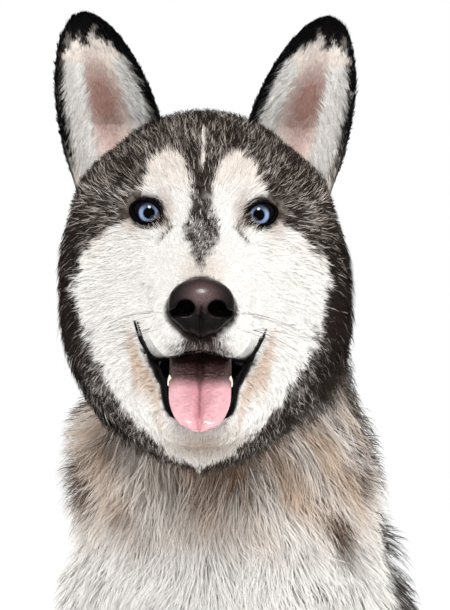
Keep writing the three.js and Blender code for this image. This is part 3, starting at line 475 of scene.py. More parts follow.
def closed_sheets(rows, columns):
    """Quads of two sheets of points, the second behind the first, joined round their rim."""
    size = rows * columns
    first_row = np.arange(columns)
    last_row = first_row + size - columns
    left = np.arange(rows) * columns
    right = left + columns - 1

    def rim(a):
        return np.stack([a[:-1], a[:-1] + size, a[1:] + size, a[1:]], axis=1)

    front = grid_faces(rows, columns)
    back = grid_faces(rows, columns, first=size)[:, ::-1]
    rims = [rim(first_row), rim(last_row)[:, ::-1], rim(left)[:, ::-1], rim(right)]
    return np.concatenate([front, back] + rims)


def gathered(parts):
    """The points and quads of several shapes as those of one."""
    firsts = np.cumsum([0] + [len(points) for points, _ in parts[:-1]])
    faces = [quads + first for (_, quads), first in zip(parts, firsts)]
    return np.concatenate([points for points, _ in parts]), np.concatenate(faces)


# Meshes and objects

def make_piece(name, points, face_sets, material, colours=None, nodes=(), normals=None, uvs=None):
    """A piece of the model from arrays: points in millimetres, and arrays of triangles or quads."""
    mesh = bpy.data.meshes.new(name)
    mesh.vertices.add(len(points))
    mesh.vertices.foreach_set("co", (points * MM).astype(np.float32).ravel())
    loops = np.concatenate([f.ravel() for f in face_sets]).astype(np.int32)
    sizes = np.concatenate([np.full(len(f), f.shape[1]) for f in face_sets])
    mesh.loops.add(len(loops))
    mesh.loops.foreach_set("vertex_index", loops)
    mesh.polygons.add(len(sizes))
    mesh.polygons.foreach_set("loop_start", (np.cumsum(sizes) - sizes).astype(np.int32))
    mesh.polygons.foreach_set("use_smooth", np.ones(len(sizes), dtype=bool))
    mesh.update(calc_edges=True)
    if colours is not None:
        layer = mesh.attributes.new("coat_colour", "FLOAT_COLOR", "POINT")
        rgba = np.concatenate([np.clip(colours, 0, 1), np.ones((len(points), 1))], axis=1)
        layer.data.foreach_set("color", rgba.astype(np.float32).ravel())
    if uvs is not None:
        layer = mesh.uv_layers.new(name="OFBake")
        layer.data.foreach_set("uv", uvs[loops].astype(np.float32).ravel())
    if normals is not None:
        mesh.normals_split_custom_set_from_vertices(normals.astype(np.float32))
    mesh.materials.append(material)
    piece = bpy.data.objects.new(name, mesh)
    bpy.context.scene.collection.objects.link(piece)
    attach(piece, "root")
    if nodes:
        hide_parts(*nodes)
    return piece


NEARLY_UP = np.array([0.13, 0.21, 0.97])


def tube(path, radii, sides):
    """Points and quads of a tube along a path, with a closed point at each end."""
    along = unit(np.gradient(path, axis=0))
    up = unit(np.cross(along, np.cross(NEARLY_UP, along)))
    aside = np.cross(along, up)
    a = np.linspace(0, 2 * np.pi, sides, endpoint=False)
    ring = up[:, None] * np.sin(a)[None, :, None] + aside[:, None] * np.cos(a)[None, :, None]
    points = path[:, None] + ring * np.asarray(radii)[:, None, None]
    return points.reshape(-1, 3), grid_faces(len(path), sides, closed=True)


# Materials

def new_material(name):
    """A material with its nodes, its links and its Principled shader."""
    material = bpy.data.materials.new(name)
    material.use_nodes = True
    nodes, links = material.node_tree.nodes, material.node_tree.links
    return material, nodes, links, nodes["Principled BSDF"]


def new_group(name, inputs, outputs):
    """A node group with the given sockets, as (group, its nodes, its links, input node, output node)."""
    group = bpy.data.node_groups.new(name, "ShaderNodeTree")
    for label, kind, value in inputs:
        socket = group.interface.new_socket(label, in_out="INPUT", socket_type=kind)
        if value is not None:
            socket.default_value = value
    for label, kind in outputs:
        group.interface.new_socket(label, in_out="OUTPUT", socket_type=kind)
    start = group.nodes.new("NodeGroupInput")
    end = group.nodes.new("NodeGroupOutput")
    return group, group.nodes, group.links, start, end


def grain_group():
    """Speckles a colour light and dark by fine noise, and gives the same noise as a height."""
    group, nodes, links, start, end = new_group(
        "fine_grain",
        [("Color", "NodeSocketColor", (0.5, 0.5, 0.5, 1)), ("Scale", "NodeSocketFloat", 900.0),
         ("Strength", "NodeSocketFloat", 0.3)],
        [("Color", "NodeSocketColor"), ("Height", "NodeSocketFloat")],
    )
    place = nodes.new("ShaderNodeTexCoord")
    noise = nodes.new("ShaderNodeTexNoise")
    noise.inputs["Detail"].default_value = 3.0
    noise.inputs["Roughness"].default_value = 0.6
    links.new(place.outputs["Object"], noise.inputs["Vector"])
    links.new(start.outputs["Scale"], noise.inputs["Scale"])
    span = nodes.new("ShaderNodeMapRange")
    span.inputs["From Min"].default_value = 0.25
    span.inputs["From Max"].default_value = 0.75
    span.inputs["To Min"].default_value = -1.0
    span.inputs["To Max"].default_value = 1.0
    links.new(noise.outputs["Fac"], span.inputs["Value"])
    gain = nodes.new("ShaderNodeMath")
    gain.operation = "MULTIPLY_ADD"
    gain.inputs[2].default_value = 1.0
    links.new(span.outputs["Result"], gain.inputs[0])
    links.new(start.outputs["Strength"], gain.inputs[1])
    tint = nodes.new("ShaderNodeVectorMath")
    tint.operation = "SCALE"
    links.new(start.outputs["Color"], tint.inputs[0])
    links.new(gain.outputs["Value"], tint.inputs["Scale"])
    links.new(tint.outputs["Vector"], end.inputs["Color"])
    links.new(noise.outputs["Fac"], end.inputs["Height"])
    return group


GRAIN = grain_group()


def grained(name, roughness, scale, strength, bump, colour=None, coat=0.0, coat_rough=0.05, specular=0.5,
            subsurface=0.0):
    """A material whose colour is a constant or the mesh's coat_colour, with fine grain and bump."""
    material, nodes, links, shader = new_material(name)
    shader.inputs["Roughness"].default_value = roughness
    shader.inputs["Coat Weight"].default_value = coat
    shader.inputs["Coat Roughness"].default_value = coat_rough
    shader.inputs["Specular IOR Level"].default_value = specular
    shader.inputs["Subsurface Weight"].default_value = subsurface
    shader.inputs["Subsurface Radius"].default_value = (0.006, 0.003, 0.002)
    shader.inputs["Subsurface Scale"].default_value = 0.5
    group = nodes.new("ShaderNodeGroup")
    group.node_tree = GRAIN
    group.inputs["Scale"].default_value = scale
    group.inputs["Strength"].default_value = strength
    if colour is None:
        source = nodes.new("ShaderNodeAttribute")
        source.attribute_name = "coat_colour"
        links.new(source.outputs["Color"], group.inputs["Color"])
    else:
        group.inputs["Color"].default_value = (*colour, 1)
    links.new(group.outputs["Color"], shader.inputs["Base Color"])
    if bump:
        relief = nodes.new("ShaderNodeBump")
        relief.inputs["Distance"].default_value = bump
        relief.inputs["Strength"].default_value = 1.0
        links.new(group.outputs["Height"], relief.inputs["Height"])
        links.new(relief.outputs["Normal"], shader.inputs["Normal"])
    return material


COAT = grained("coat", 0.7, 260.0, 0.10, 0.0, specular=0.02)
SKIN = grained("under_coat", 0.85, 1400.0, 0.35, 0.0009, specular=0.03)
EAR_SKIN = grained("ear_skin", 0.6, 700.0, 0.18, 0.0004, specular=0.3, subsurface=0.1)
LEATHER = grained("nose_leather", 0.5, 1300.0, 0.45, 0.0007, coat=0.55, coat_rough=0.24, specular=0.05)
LIP = grained("lip_skin", 0.4, 900.0, 0.3, 0.0006, LIP_BLACK, coat=0.3, coat_rough=0.12, specular=0.03)
LID = grained("lid_skin", 0.5, 1200.0, 0.3, 0.0002, LID_BLACK, specular=0.02)
TONGUE = grained("tongue_skin", 0.4, 380.0, 0.10, 0.0014, coat=0.6, coat_rough=0.1, subsurface=0.12)
EYE = grained("eye_surface", 0.5, 500.0, 0.05, 0.0, coat=0.9, specular=0.0)
ENAMEL = grained("enamel", 0.22, 400.0, 0.05, 0.0, TOOTH_WHITE, coat=0.3)
HORN = grained("claw_horn", 0.38, 600.0, 0.25, 0.0003, CLAW_BROWN, coat=0.1)
WHISKER = grained("whisker", 0.35, 300.0, 0.1, 0.0, WHISKER_GREY)


# Markings, as shares of dark hair: half widths of the white mask and of the dark stripe are by height

MASK_Z = (-163.0, -158.0, -150.0, -136.0, -122.0, -104.0, -84.0, -57.0,
          -45.0, -31.0, -20.0, -11.0, -4.0, 4.0, 15.0, 30.0)
MASK_X = (0.0, 14.0, 25.0, 39.0, 50.0, 61.0, 72.0, 80.0,
          82.0, 79.0, 70.0, 58.0, 45.0, 40.0, 37.5, 33.0)
STRIPE_Z = (-38.0, -33.0, -27.0, -17.0, -8.0, 2.0, 15.0, 27.0, 42.0)
STRIPE_X = (0.0, 3.0, 6.0, 10.5, 11.0, 7.5, 6.5, 10.0, 16.0)
STRIPE_MIDDLE = -0.5
BROW_X, BROW_Z, BROW_HALF, BROW_TALL = 22.0, 11.0, 18.0, 28.0
TEAR_X, TEAR_Z, DUCT_Z = 24.0, -15.0, -7.5
PHILTRUM_Z = -88.0
# Centre of the painted shadow on the chin, below the tongue.
CHIN_SHADOW_X, CHIN_SHADOW_Z = 2.0, -146.0
LIP_BARE_HALF = 41.0
# Centre of the chest's brown, partly painted shade under the head.
BIB_AND_SHADE_X, BIB_AND_SHADE_Z = 8.0, 482.0
FRONT_EDGE_Y, FRONT_EDGE_Z, FRONT_BELLY_Z = -258.0, 372.0, 300.0
TRUNK_Y, TRUNK_Z, TRUNK_LEAN = -150.0, 262.0, 0.62
CHEST_TURN, FLANK_TURN = 0.15, 0.26


def white_of_face(h, ragged):
    """Share of white on the face: the mask below the eyes, and a spot over each of them."""
    z = h[:, 2]
    ax = np.abs(h[:, 0]) + ragged
    mask = smooth(np.interp(z, MASK_Z, MASK_X) - ax, -3.5, 4.0) * fade(z, 4, 18)
    brow = np.hypot((ax - BROW_X) / BROW_HALF, (z + 0.6 * ragged - BROW_Z) / BROW_TALL)
    return np.maximum(mask, fade(brow, 0.86, 1.1))


def forehead_stripe(h, ragged, fine):
    """Share of the dark stripe that comes down from the forehead between the eyes, finely streaked."""
    z = h[:, 2]
    past = np.abs(h[:, 0] - STRIPE_MIDDLE) + 0.5 * ragged - np.interp(z, STRIPE_Z, STRIPE_X)
    streaks = 0.78 + 0.22 * smooth(z, -26, 8) + 0.26 * fine * fade(z, 0, 25)
    return fade(past, -2.5, 2.0) * np.clip(streaks, 0, 1) * smooth(z, -44, -37)


def small_marks(h, ragged):
    """Share of dark hair round the nose and the lids, at the tear ducts and over the philtrum."""
    x, y, z = h.T
    from_duct = np.abs(x - EYE_MIDDLE) - TEAR_X
    fringe = fade(nose_masses(x, y, z), 1.2, 4.5)
    lash = fade(eye_gap(x, y, z), 1.5, 4.5)
    tear = fade(np.abs(from_duct + 0.9 * (z - TEAR_Z)), 0.8, 2.2) * band(z, -22, -19, -11, -8)
    duct = fade(np.hypot(from_duct, z - DUCT_Z), 2.0, 5.5)
    under_nose = np.abs(x) + ragged + 0.5 * (z - PHILTRUM_Z)
    philtrum = fade(under_nose, 8, 24) * band(z, -100, -94, -79, -73) * (y < -60)
    total = 0.8 * fringe + 0.8 * lash + 0.6 * tear + 0.45 * duct + 0.78 * philtrum
    return fade(y, 10, 20) * np.clip(total, 0, 0.9)


def head_share(h):
    """Share of dark hair on the head, from its place in the head's frame: a grizzled cap and dark cheeks
    round a white face, with a stripe down the forehead and a thin white line in it."""
    x, y, z = h.T
    ragged = 2.2 * wander(h, 16, 3) + 1.4 * wander(h, 6, 4)
    fine = wander(h, 2.6, 13)
    white = white_of_face(h, ragged) * (1 - forehead_stripe(h, ragged, fine))
    line = fade(np.abs(x - STRIPE_MIDDLE), 0.4, 1.7) * band(z, 24, 30, 50, 58) * fade(y, 30, 50)
    white = np.maximum(white, 0.9 * line) * (1 - smooth(y, 64, 84) * smooth(z, -128, -105))
    temple = smooth(np.abs(x), 46, 62) * band(z, -50, -10, 8, 40)
    cheek = smooth(np.abs(x), 70, 84) * fade(z, -30, 10)
    cap = 0.80 + 0.10 * wander(h, 26, 5) + 0.16 * fine - 0.05 * temple + 0.2 * cheek
    share = np.clip(cap, 0, 1) * (1 - white) + 0.01 * white
    return np.maximum(share, small_marks(h, ragged))


def in_front(p, turn, ragged=0.0):
    """1 on the front half of the body, 0 behind: its edge follows the body's leaning middle, and comes
    forward by a share of the distance aside."""
    x, y, z = p.T
    above, below = np.maximum(0, z - FRONT_EDGE_Z), np.maximum(0, FRONT_BELLY_Z - z)
    return fade(y + turn * np.abs(x) - (FRONT_EDGE_Y - 0.42 * above + 0.5 * below) + ragged, -25, 45)


def trunk_middle(z):
    """Y of the trunk's leaning middle line at a height."""
    return TRUNK_Y - TRUNK_LEAN * (z - TRUNK_Z)


def chest_share(p, smudge):
    """Share of dark hair on the chest: brown high in its middle, partly its own colour and partly painted
    shade under the head, smudges at each side and a dark collar under the cheeks, on white that is clear
    lower down."""
    x, _, z = p.T
    collar = fade(head_masses(*to_head(p).T) + 5 * smudge, -12, 16)
    collar = collar * (0.35 + 0.65 * smooth(np.abs(x), 15, 50))
    # Partly the coat's own brown and partly painted shade that the head casts on the top of the chest.
    bib_and_head_shade = np.exp(-((x - BIB_AND_SHADE_X) / 42) ** 2 - ((z - BIB_AND_SHADE_Z) / 30) ** 2)
    aside = smooth(np.abs(x - 6), 40, 80) * smooth(z, 400, 450)
    share = 0.005 + 0.76 * bib_and_head_shade + (0.08 + 0.46 * smooth(smudge, -0.4, 0.9)) * aside + 0.62 * collar
    return (share + 0.26 * smooth(smudge, 0.2, 1.1) * smooth(z, 405, 445)) * smooth(z, 300, 400)


def body_share(p):
    """Share of dark hair on the body: a dark saddle, a grizzled ruff and chest, white legs and belly."""
    x, y, z = p.T
    smudge = wander(p, 58, 7) + 0.6 * wander(p, 24, 8)
    front = in_front(p, FLANK_TURN, 10 * smudge)
    saddle = smooth(y - trunk_middle(z) + 12 * smudge, -58, 8)
    back = np.maximum(0.10 + 0.74 * saddle, 0.55 * smooth(z, 420, 480))
    thigh = smooth(np.abs(x), 78, 110) * fade(z + 10 * smudge, 50, 135)
    legs = fade(z + 8 * smudge, 235, 320) * fade(y, -230, -200)
    white = (1 - 0.9 * thigh) * (1 - 0.95 * legs) * smooth(z + 8 * smudge, 20, 80)
    return np.clip((front * chest_share(p, smudge) + (1 - front) * back) * white, 0.02, 0.95)


def tail_share(along, up):
    """Share of dark hair on the tail: dark above, pale below, with a dark tip."""
    return np.clip(0.12 + 0.7 * smooth(up, -0.2, 0.5) + 0.5 * smooth(along, 0.82, 0.97), 0, 0.95)


def headness_of(p, h):
    """1 on the head, 0 on the body, with a short change where the cheeks meet the ruff."""
    return smooth(body_masses(*p.T) - head_masses(*h.T), -28, -12)


def tinted_face(h, headness, share, pale):
    """The pale colour with the face's tints: tan beside the eyes, grey flecks among dark hair, cream as
    painted shade in the fold beside the mouth, and beige as painted shadow on the chin below the tongue."""
    x, y, z = h.T
    ax = np.abs(x)
    lips = mouth_opening(x, y, z)
    near_eye = fade(eye_gap(x, y, z), 3.0, 14.0) * smooth(np.abs(ax - EYE_X), 3, 11) * (y < 25)
    # Painted shade: cream in the fold outside the lower lip.
    fold = band(lips, 1.5, 4, 6, 15) * smooth(ax, 20, 27) * smooth(-z, 68, 84) * (beside(x, z, lower_lip) < 0)
    # Painted shadow: beige on the chin below the tongue.
    chin = np.exp(-((x - CHIN_SHADOW_X) / 25) ** 2 - ((z - CHIN_SHADOW_Z) / 12) ** 2) * (y < 10)
    flecks = smooth(share, 0.35, 0.75)
    for tint, where in ((TAN, 0.55 * near_eye), (CREAM_GREY, 0.75 * flecks), (CREAM, 0.8 * fold),
                        (CHIN_SHADOW_BEIGE, 0.95 * chin)):
        pale = blend(pale, tint, headness * where)
    return pale


def marked(p):
    """Share of dark hair, pale colour and dark colour at points of the skin, in the part's frame."""
    h = to_head(p)
    headness = headness_of(p, h)
    share = headness * head_share(h) + (1 - headness) * body_share(p)
    front = (1 - headness) * in_front(p, CHEST_TURN)
    smudge = 0.5 + 0.5 * wander(p, 40, 12)
    ax, z = np.abs(h[:, 0]), h[:, 2]
    bridge = fade(ax, 6, 20) * band(z, -56, -42, -38, -20)
    face_cream = 0.35 * smooth(z, 5, 30) + 0.25 * smooth(ax, 50, 70) * smooth(z, -40, -10) + 0.35 * bridge
    cream = front * (0.35 + 0.6 * smudge) * smooth(p[:, 2], 415, 475) + headness * face_cream
    pale = tinted_face(h, headness, share, blend(WHITE, CREAM, np.clip(cream, 0, 0.9)))
    return share, pale, blend(DARK, BROWN, 0.12 + front * (0.7 + 0.4 * smudge))


def skin_colours(p):
    """Colour of the skin under the coat: the markings' mean, and black at the lids, under the nose and in the
    mouth, where it is the lips' own black skin and, deeper inside, painted shade."""
    share, pale, dark = marked(p)
    h = to_head(p)
    x, y, z = h.T
    # Partly the lips' own black skin and partly painted shade inside the open mouth.
    mouth = fade(mouth_opening(x, y, z) + LIP_INSET, 0.0, 1.5) * (y < 0) * (np.abs(x) < LIP_BARE_HALF)
    rim = fade(eye_gap(x, y, z), 1.0, 3.0) * (y < 20)
    colour = blend(pale * 0.8, dark, np.clip(share * 1.1, 0, 1))
    nose = fade(nose_masses(x, y, z), 0.0, 1.0)
    for tint, where in ((MOUTH_BLACK_AND_SHADE, mouth), (LID_EDGE, rim), (NOSE_BED, nose)):
        colour = blend(colour, tint, where)
    return colour


# Skin

SKIN_CELL, SKIN_FINE_CELL = 7, 3.2


def make_skin():
    """The skin of head, body and legs, on a grid that is finer over the head."""
    xs = graded(-172, 172, SKIN_CELL, -112, 112, SKIN_FINE_CELL)
    ys = graded(-528, 112, SKIN_CELL, -524, -268, SKIN_FINE_CELL)
    zs = graded(-6, 772, SKIN_CELL, 462, 768, SKIN_FINE_CELL)
    points, quads = surface_net(skin_field, xs, ys, zs)
    outward = unit(slope_of(skin_field, points))
    limbs = ("foreleg", "forepaw", "hindleg", "hindpaw")
    nodes = ["head", "jaw", "neck", "chest", "rump"]
    nodes += [f"{limb}_{side}" for limb in limbs for side in ("left", "right")]
    make_piece("skin", points, [quads], SKIN, skin_colours(points), nodes)
    return points, quads, outward


# Tufts

class Scatter:
    """Places spread over a surface by area: their points, outward directions and faces."""

    def __init__(self, points, quads, outward):
        self.points, self.outward = points, outward
        self.triangles = np.concatenate([quads[:, [0, 1, 2]], quads[:, [0, 2, 3]]])
        a, b, c = (points[self.triangles[:, n]] for n in range(3))
        self.areas = 0.5 * np.linalg.norm(np.cross(b - a, c - a), axis=1)
        self.centres = (a + b + c) / 3

    def sample(self, weights, count, rng):
        """count places, with a chance in proportion to each triangle's area and weight."""
        chance = np.cumsum(self.areas * weights)
        pick = np.searchsorted(chance, rng.uniform(0, chance[-1], count))
        corners = self.triangles[np.minimum(pick, len(self.triangles) - 1)]
        u, v = rng.uniform(size=(2, count))
        over = u + v > 1
        u, v = np.where(over, 1 - u, u), np.where(over, 1 - v, v)
        w = np.stack([1 - u - v, u, v], axis=1)[:, :, None]
        return (self.points[corners] * w).sum(axis=1), unit((self.outward[corners] * w).sum(axis=1))


LONG_STEPS = np.array([0.0, 0.34, 0.7])
LONG_WIDTHS = np.array([0.8, 1.0, 0.66])
SHORT_STEPS = np.array([0.0, 0.55])
SHORT_WIDTHS = np.array([0.9, 0.85])


def blades(rng, centre, out, lie, length, width, lift, spread, per_tuft, long, sink=1.2, stray=0.22):
    """Tufts of thin blades. In a tuft the blades start from a small round patch and close in towards the
    tip. A blade follows root + lie * reach * t + out * (lift * (1 - (1 - t)^1.7) - sink), with its width
    across, and its normals lean from the skin's own outward direction to each side, as on a round hair.
    """

    def each(values):
        return np.repeat(values, per_tuft, axis=0)

    steps, widths = (LONG_STEPS, LONG_WIDTHS) if long else (SHORT_STEPS, SHORT_WIDTHS)
    tufts = len(centre)
    n = tufts * per_tuft
    bend = rng.normal(0, stray, tufts)
    across = unit(np.cross(out, lie))
    lie = unit(lie * np.cos(bend)[:, None] + across * np.sin(bend)[:, None])
    across = unit(np.cross(out, lie))
    c, o, d, s = each(centre), each(out), each(lie), each(across)
    radius = each(spread) * np.sqrt(rng.uniform(size=n))
    angle = rng.uniform(0, 2 * np.pi, n)
    off = d * (radius * np.cos(angle))[:, None] + s * (radius * np.sin(angle))[:, None]
    size = each(length) * rng.uniform(0.72, 1.08, n)
    rise = each(lift) * rng.uniform(0.55, 1.15, n)
    reach = np.sqrt(np.maximum(size ** 2 - rise ** 2, (0.3 * size) ** 2))
    fan = rng.normal(0, 0.09, n)
    own = unit(d + s * fan[:, None])
    roll = rng.normal(0, 0.5, n)[:, None]
    flat = unit(s * np.cos(roll) + o * np.sin(roll))
    half = 0.5 * each(width) * rng.uniform(0.75, 1.25, n)
    curl = rng.normal(0, 0.05, n) * size
    rows, lean = [], []
    for t, share in [*zip(steps, widths), (1.0, 0.0)]:
        high = rise * (1 - (1 - t) ** 1.7) - sink
        spine = c + off * (1 - 0.62 * t) + own * (reach * t)[:, None]
        spine = spine + o * high[:, None] + s * (curl * t * t)[:, None]
        if share:
            wide = flat * (half * share)[:, None]
            rows += [spine - wide, spine + wide]
            lean += [o - 0.55 * flat, o + 0.55 * flat]
        else:
            rows.append(spine)
            lean.append(o + 0.25 * own)
    points = np.stack(rows, axis=1)
    normals = unit(np.stack(lean, axis=1))
    count = points.shape[1]
    base = (np.arange(n) * count)[:, None]
    quads = [base + np.array([2 * k, 2 * k + 2, 2 * k + 3, 2 * k + 1]) for k in range(len(steps) - 1)]
    last = 2 * (len(steps) - 1)
    tips = base + np.array([last, last + 2, last + 1])
    along = np.repeat(np.append(steps, 1.0), [2] * len(steps) + [1])
    return points, normals, [np.concatenate(quads), tips], along, c + off


def bake_places(rng, unwrap, along, n):
    """A patch 0.003 across for each blade at its root's place on the unwrap."""
    low, high = unwrap.min(axis=0), unwrap.max(axis=0)
    place = 0.01 + 0.975 * (unwrap - low) / (high - low + 1e-9)
    sideways = np.array([-1.0, 1.0] * (len(along) // 2) + [0.0]) * 0.0015
    patch = np.stack([sideways, (along - 0.5) * 0.003], axis=1)
    return (place[:, None, :] + patch[None]).reshape(-1, 2)


def strand_colours(rng, share, pale, dark, along, grizzle, tips, soft):
    """Colours down each blade: hair by hair pale or dark about the marking's share, darker at the tips
    where the coat is agouti, and a little shaded at the root."""
    n = len(share)
    chance = share + grizzle * rng.uniform(-1, 1, n) * np.minimum(1, 6 * share * (1 - share) + 0.02)
    mix = (1 - soft) * smooth(chance, 0.28, 0.72) + soft * share
    tone = rng.uniform(0.86, 1.1, n)[:, None]
    root = blend(pale, dark, 0.97 * mix) * tone
    tip = blend(pale, dark, np.clip(mix + tips * share, 0, 1)) * tone
    colours = root[:, None] * (1 - along)[None, :, None] + tip[:, None] * along[None, :, None]
    shade = 0.72 + 0.28 * smooth(along, 0.0, 0.5)
    return (colours * shade[None, :, None]).reshape(-1, 3)


def lie_at(p, out):
    """The lie of the coat at points of the skin: away from the nose over the head, down and back over the
    body, towards the toes on the feet."""
    h = to_head(p)
    side = np.tanh(h[:, 0] / 9)
    ax = np.abs(h[:, 0])
    z = h[:, 2]
    away = unit(h - np.array([0.0, -104.0, -50.0]))
    cheek = smooth(ax, 22, 58) * fade(z, -22, 22)
    away = away + cheek[:, None] * np.stack([0.75 * side, 0.35 + 0 * z, -0.85 + 0 * z], axis=1)
    crown = smooth(z, 2, 35)
    away = away + crown[:, None] * np.stack([0.006 * h[:, 0], 0.45 + 0 * z, 0.65 + 0 * z], axis=1)
    nape = smooth(h[:, 1], 55, 90)
    away = away + nape[:, None] * np.array([0.0, 0.4, -1.6])
    throat = fade(z, -125, -95)
    away = away + throat[:, None] * np.array([0.0, 0.4, -0.9])
    head_lie = unit(away) @ HEAD_TURNED.T
    x, y, zz = p.T
    ahead = smooth(-out[:, 1], -0.2, 0.7)
    body = np.stack([0.12 * np.sign(x), 0.60 - 0.52 * ahead, -0.82 + 0 * x], axis=1)
    foot = fade(zz, 30, 62)
    body = blend(body, np.array([0.0, -0.9, -0.35]), foot * (np.abs(x) > 30))
    headness = headness_of(p, h)
    lie = blend(body, head_lie, headness)
    sway = np.stack([wander(p, 45, seed) for seed in (21, 22, 23)], axis=1)
    lie = lie + (0.30 - 0.14 * headness[:, None]) * sway
    lie = lie - out * np.sum(lie * out, axis=1, keepdims=True)
    return unit(lie)


def coat_depth(p):
    """Depth of the coat over the skin at points of the part's frame."""
    h = to_head(p)
    headness = headness_of(p, h)
    return headness * head_depth(*h.T) + (1 - headness) * body_depth(*p.T)


def ruff_lift(p):
    """How high the ruff stands, as a share of its depth: fullest at the sides of the neck, and a little
    flatter over the shoulders."""
    z = p[:, 2]
    aside = smooth(np.abs(p[:, 0]), 30, 75) * (1 - headness_of(p, to_head(p)))
    raised = (0.62 - 0.2 * np.tanh(p[:, 0] / 40)) * band(z, 450, 485, 512, 548)
    lowered = 0.05 * fade(z, 425, 455) * smooth(z, 300, 360)
    return 1 + aside * (raised - lowered)


def head_unwrap(p):
    """Round the head and up it."""
    h = to_head(p)
    return np.stack([np.arctan2(h[:, 0], -h[:, 1] + 40), h[:, 2] / 60], axis=1)


def trunk_unwrap(p):
    """Round the trunk's leaning middle and up it."""
    return np.stack([np.arctan2(p[:, 0], trunk_middle(p[:, 2]) - p[:, 1]), p[:, 2] / 90], axis=1)


def leg_unwrap(p):
    """Four strips side by side, one for each leg."""
    fore = (p[:, 1] < -235) | ((np.abs(p[:, 0]) < 80) & (p[:, 1] < -200))
    strip = 2 * fore + (p[:, 0] > 0)
    cx = np.where(fore, PAW[0] + 4, HIND_PAW[0])
    cy = np.where(fore, -300.0, -120.0)
    angle = np.arctan2(np.abs(p[:, 0]) - cx, cy - p[:, 1]) / (2 * np.pi)
    return np.stack([strip * 1.1 + angle, p[:, 2] / 120], axis=1)


def make_coat(name, seed, spread_on, weights, triangles, long, per_tuft, unwrap, grizzle, tips, fine=1.0,
              reach=2.3, soft=0.2):
    """One coat piece over the part of the skin where the weights are above 0, more flecked on the back."""
    rng = np.random.default_rng(seed)
    per_blade = 5 if long else 3
    count = int(triangles * QUICK_SHARE / per_blade / per_tuft)
    centre, out = spread_on.sample(weights, count, rng)
    lie = lie_at(centre, out)
    depth = coat_depth(centre)
    length = 6.2 + reach * depth
    width = fine * (0.36 + 0.011 * length) / math.sqrt(QUICK_SHARE)
    lift = ruff_lift(centre) * 0.95 * depth + 0.5
    tufts = blades(rng, centre, out, lie, length, width, lift, 0.9 + 0.09 * length, per_tuft, long)
    points, normals, faces, along, roots = tufts
    share, pale, dark = marked(0.4 * roots + 0.6 * points[:, -1])
    behind = (1 - in_front(roots, FLANK_TURN)) * (1 - headness_of(roots, to_head(roots)))
    grizzle = grizzle + (0.5 - grizzle) * behind
    soft = soft * (1 - 0.7 * behind)
    colours = strand_colours(rng, share, pale, dark, along, grizzle, tips, soft)
    uvs = bake_places(rng, unwrap(roots), along, len(roots))
    make_piece(name, points.reshape(-1, 3), faces, COAT, colours, (), normals.reshape(-1, 3), uvs)


def make_coats(points, quads, outward):
    """The coat of head and body, in pieces that follow the body's own regions."""
    spread_on = Scatter(points, quads, outward)
    at = spread_on.centres
    h = to_head(at)
    x, y, z = at.T
    in_head = (head_masses(*h.T) < body_masses(*at.T) + 4).astype(float)
    mouth = (mouth_opening(*h.T) < 0.8) & (h[:, 1] < 0) & (np.abs(h[:, 0]) < LIP_BARE_HALF)
    eyes = (eye_gap(*h.T) < 3.4) & (h[:, 1] < 20)
    nose = nose_masses(*h.T) < -0.8
    open_skin = 1.0 - (mouth | eyes | nose)
    sole = (z > 3).astype(float)
    face = in_head * (h[:, 1] < 28) * open_skin
    rest = in_head * (h[:, 1] >= 24) * open_skin
    muzzle = fade(h[:, 1], -50, 10)
    legs_front = (z < 268) * (y < -218)
    legs_back = (z < 62) * (np.abs(x) > 78)
    body = (1 - in_head) * sole
    neck = body * (z > 395)
    trunk = body * (z <= 400) * (1 - legs_front) * (1 - legs_back)
    waist = TRUNK_Z + 0.78 * (y - TRUNK_Y)
    loin, chest = trunk * (z <= waist + 6), trunk * (z > waist - 6)
    ruff = neck * (0.25 + 0.75 * (y < -300))
    legs = body * np.maximum(legs_front, legs_back)
    make_coat("coat_face", 101, spread_on, face * (0.45 + 0.7 * muzzle), 190000, False, 4, head_unwrap,
              grizzle=0.7, tips=0.10, fine=0.9, soft=0.12)
    make_coat("coat_cheeks", 102, spread_on, rest, 192000, True, 6, head_unwrap,
              grizzle=0.35, tips=0.15, fine=0.9)
    make_coat("coat_ruff", 103, spread_on, ruff, 196000, True, 7, trunk_unwrap,
              grizzle=0.25, tips=0.3, fine=0.85, reach=1.7, soft=0.5)
    make_coat("coat_chest", 104, spread_on, chest, 190000, True, 7, trunk_unwrap,
              grizzle=0.25, tips=0.3, fine=0.95, reach=1.75, soft=0.5)
    make_coat("coat_rump", 105, spread_on, loin, 190000, True, 7, trunk_unwrap,
              grizzle=0.5, tips=0.35, fine=1.35)
    make_coat("coat_legs", 106, spread_on, legs, 186000, False, 5, leg_unwrap,
              grizzle=0.3, tips=0.1, fine=1.15)


# Ears

EAR_ROOT_Z, EAR_SHOULDER_Z, EAR_TIP_Z = 8.0, 58.0, 128.0
EAR_HALF, EAR_FOOT, EAR_INNER, EAR_LEAN = 33.6, 29.0, 52.5, 23.0
EAR_DEPTH, EAR_THICK, EAR_EDGE_Y, EAR_SPLAY, EAR_FORWARD = 27.0, 6.0, 42.0, 9.0, 8.0


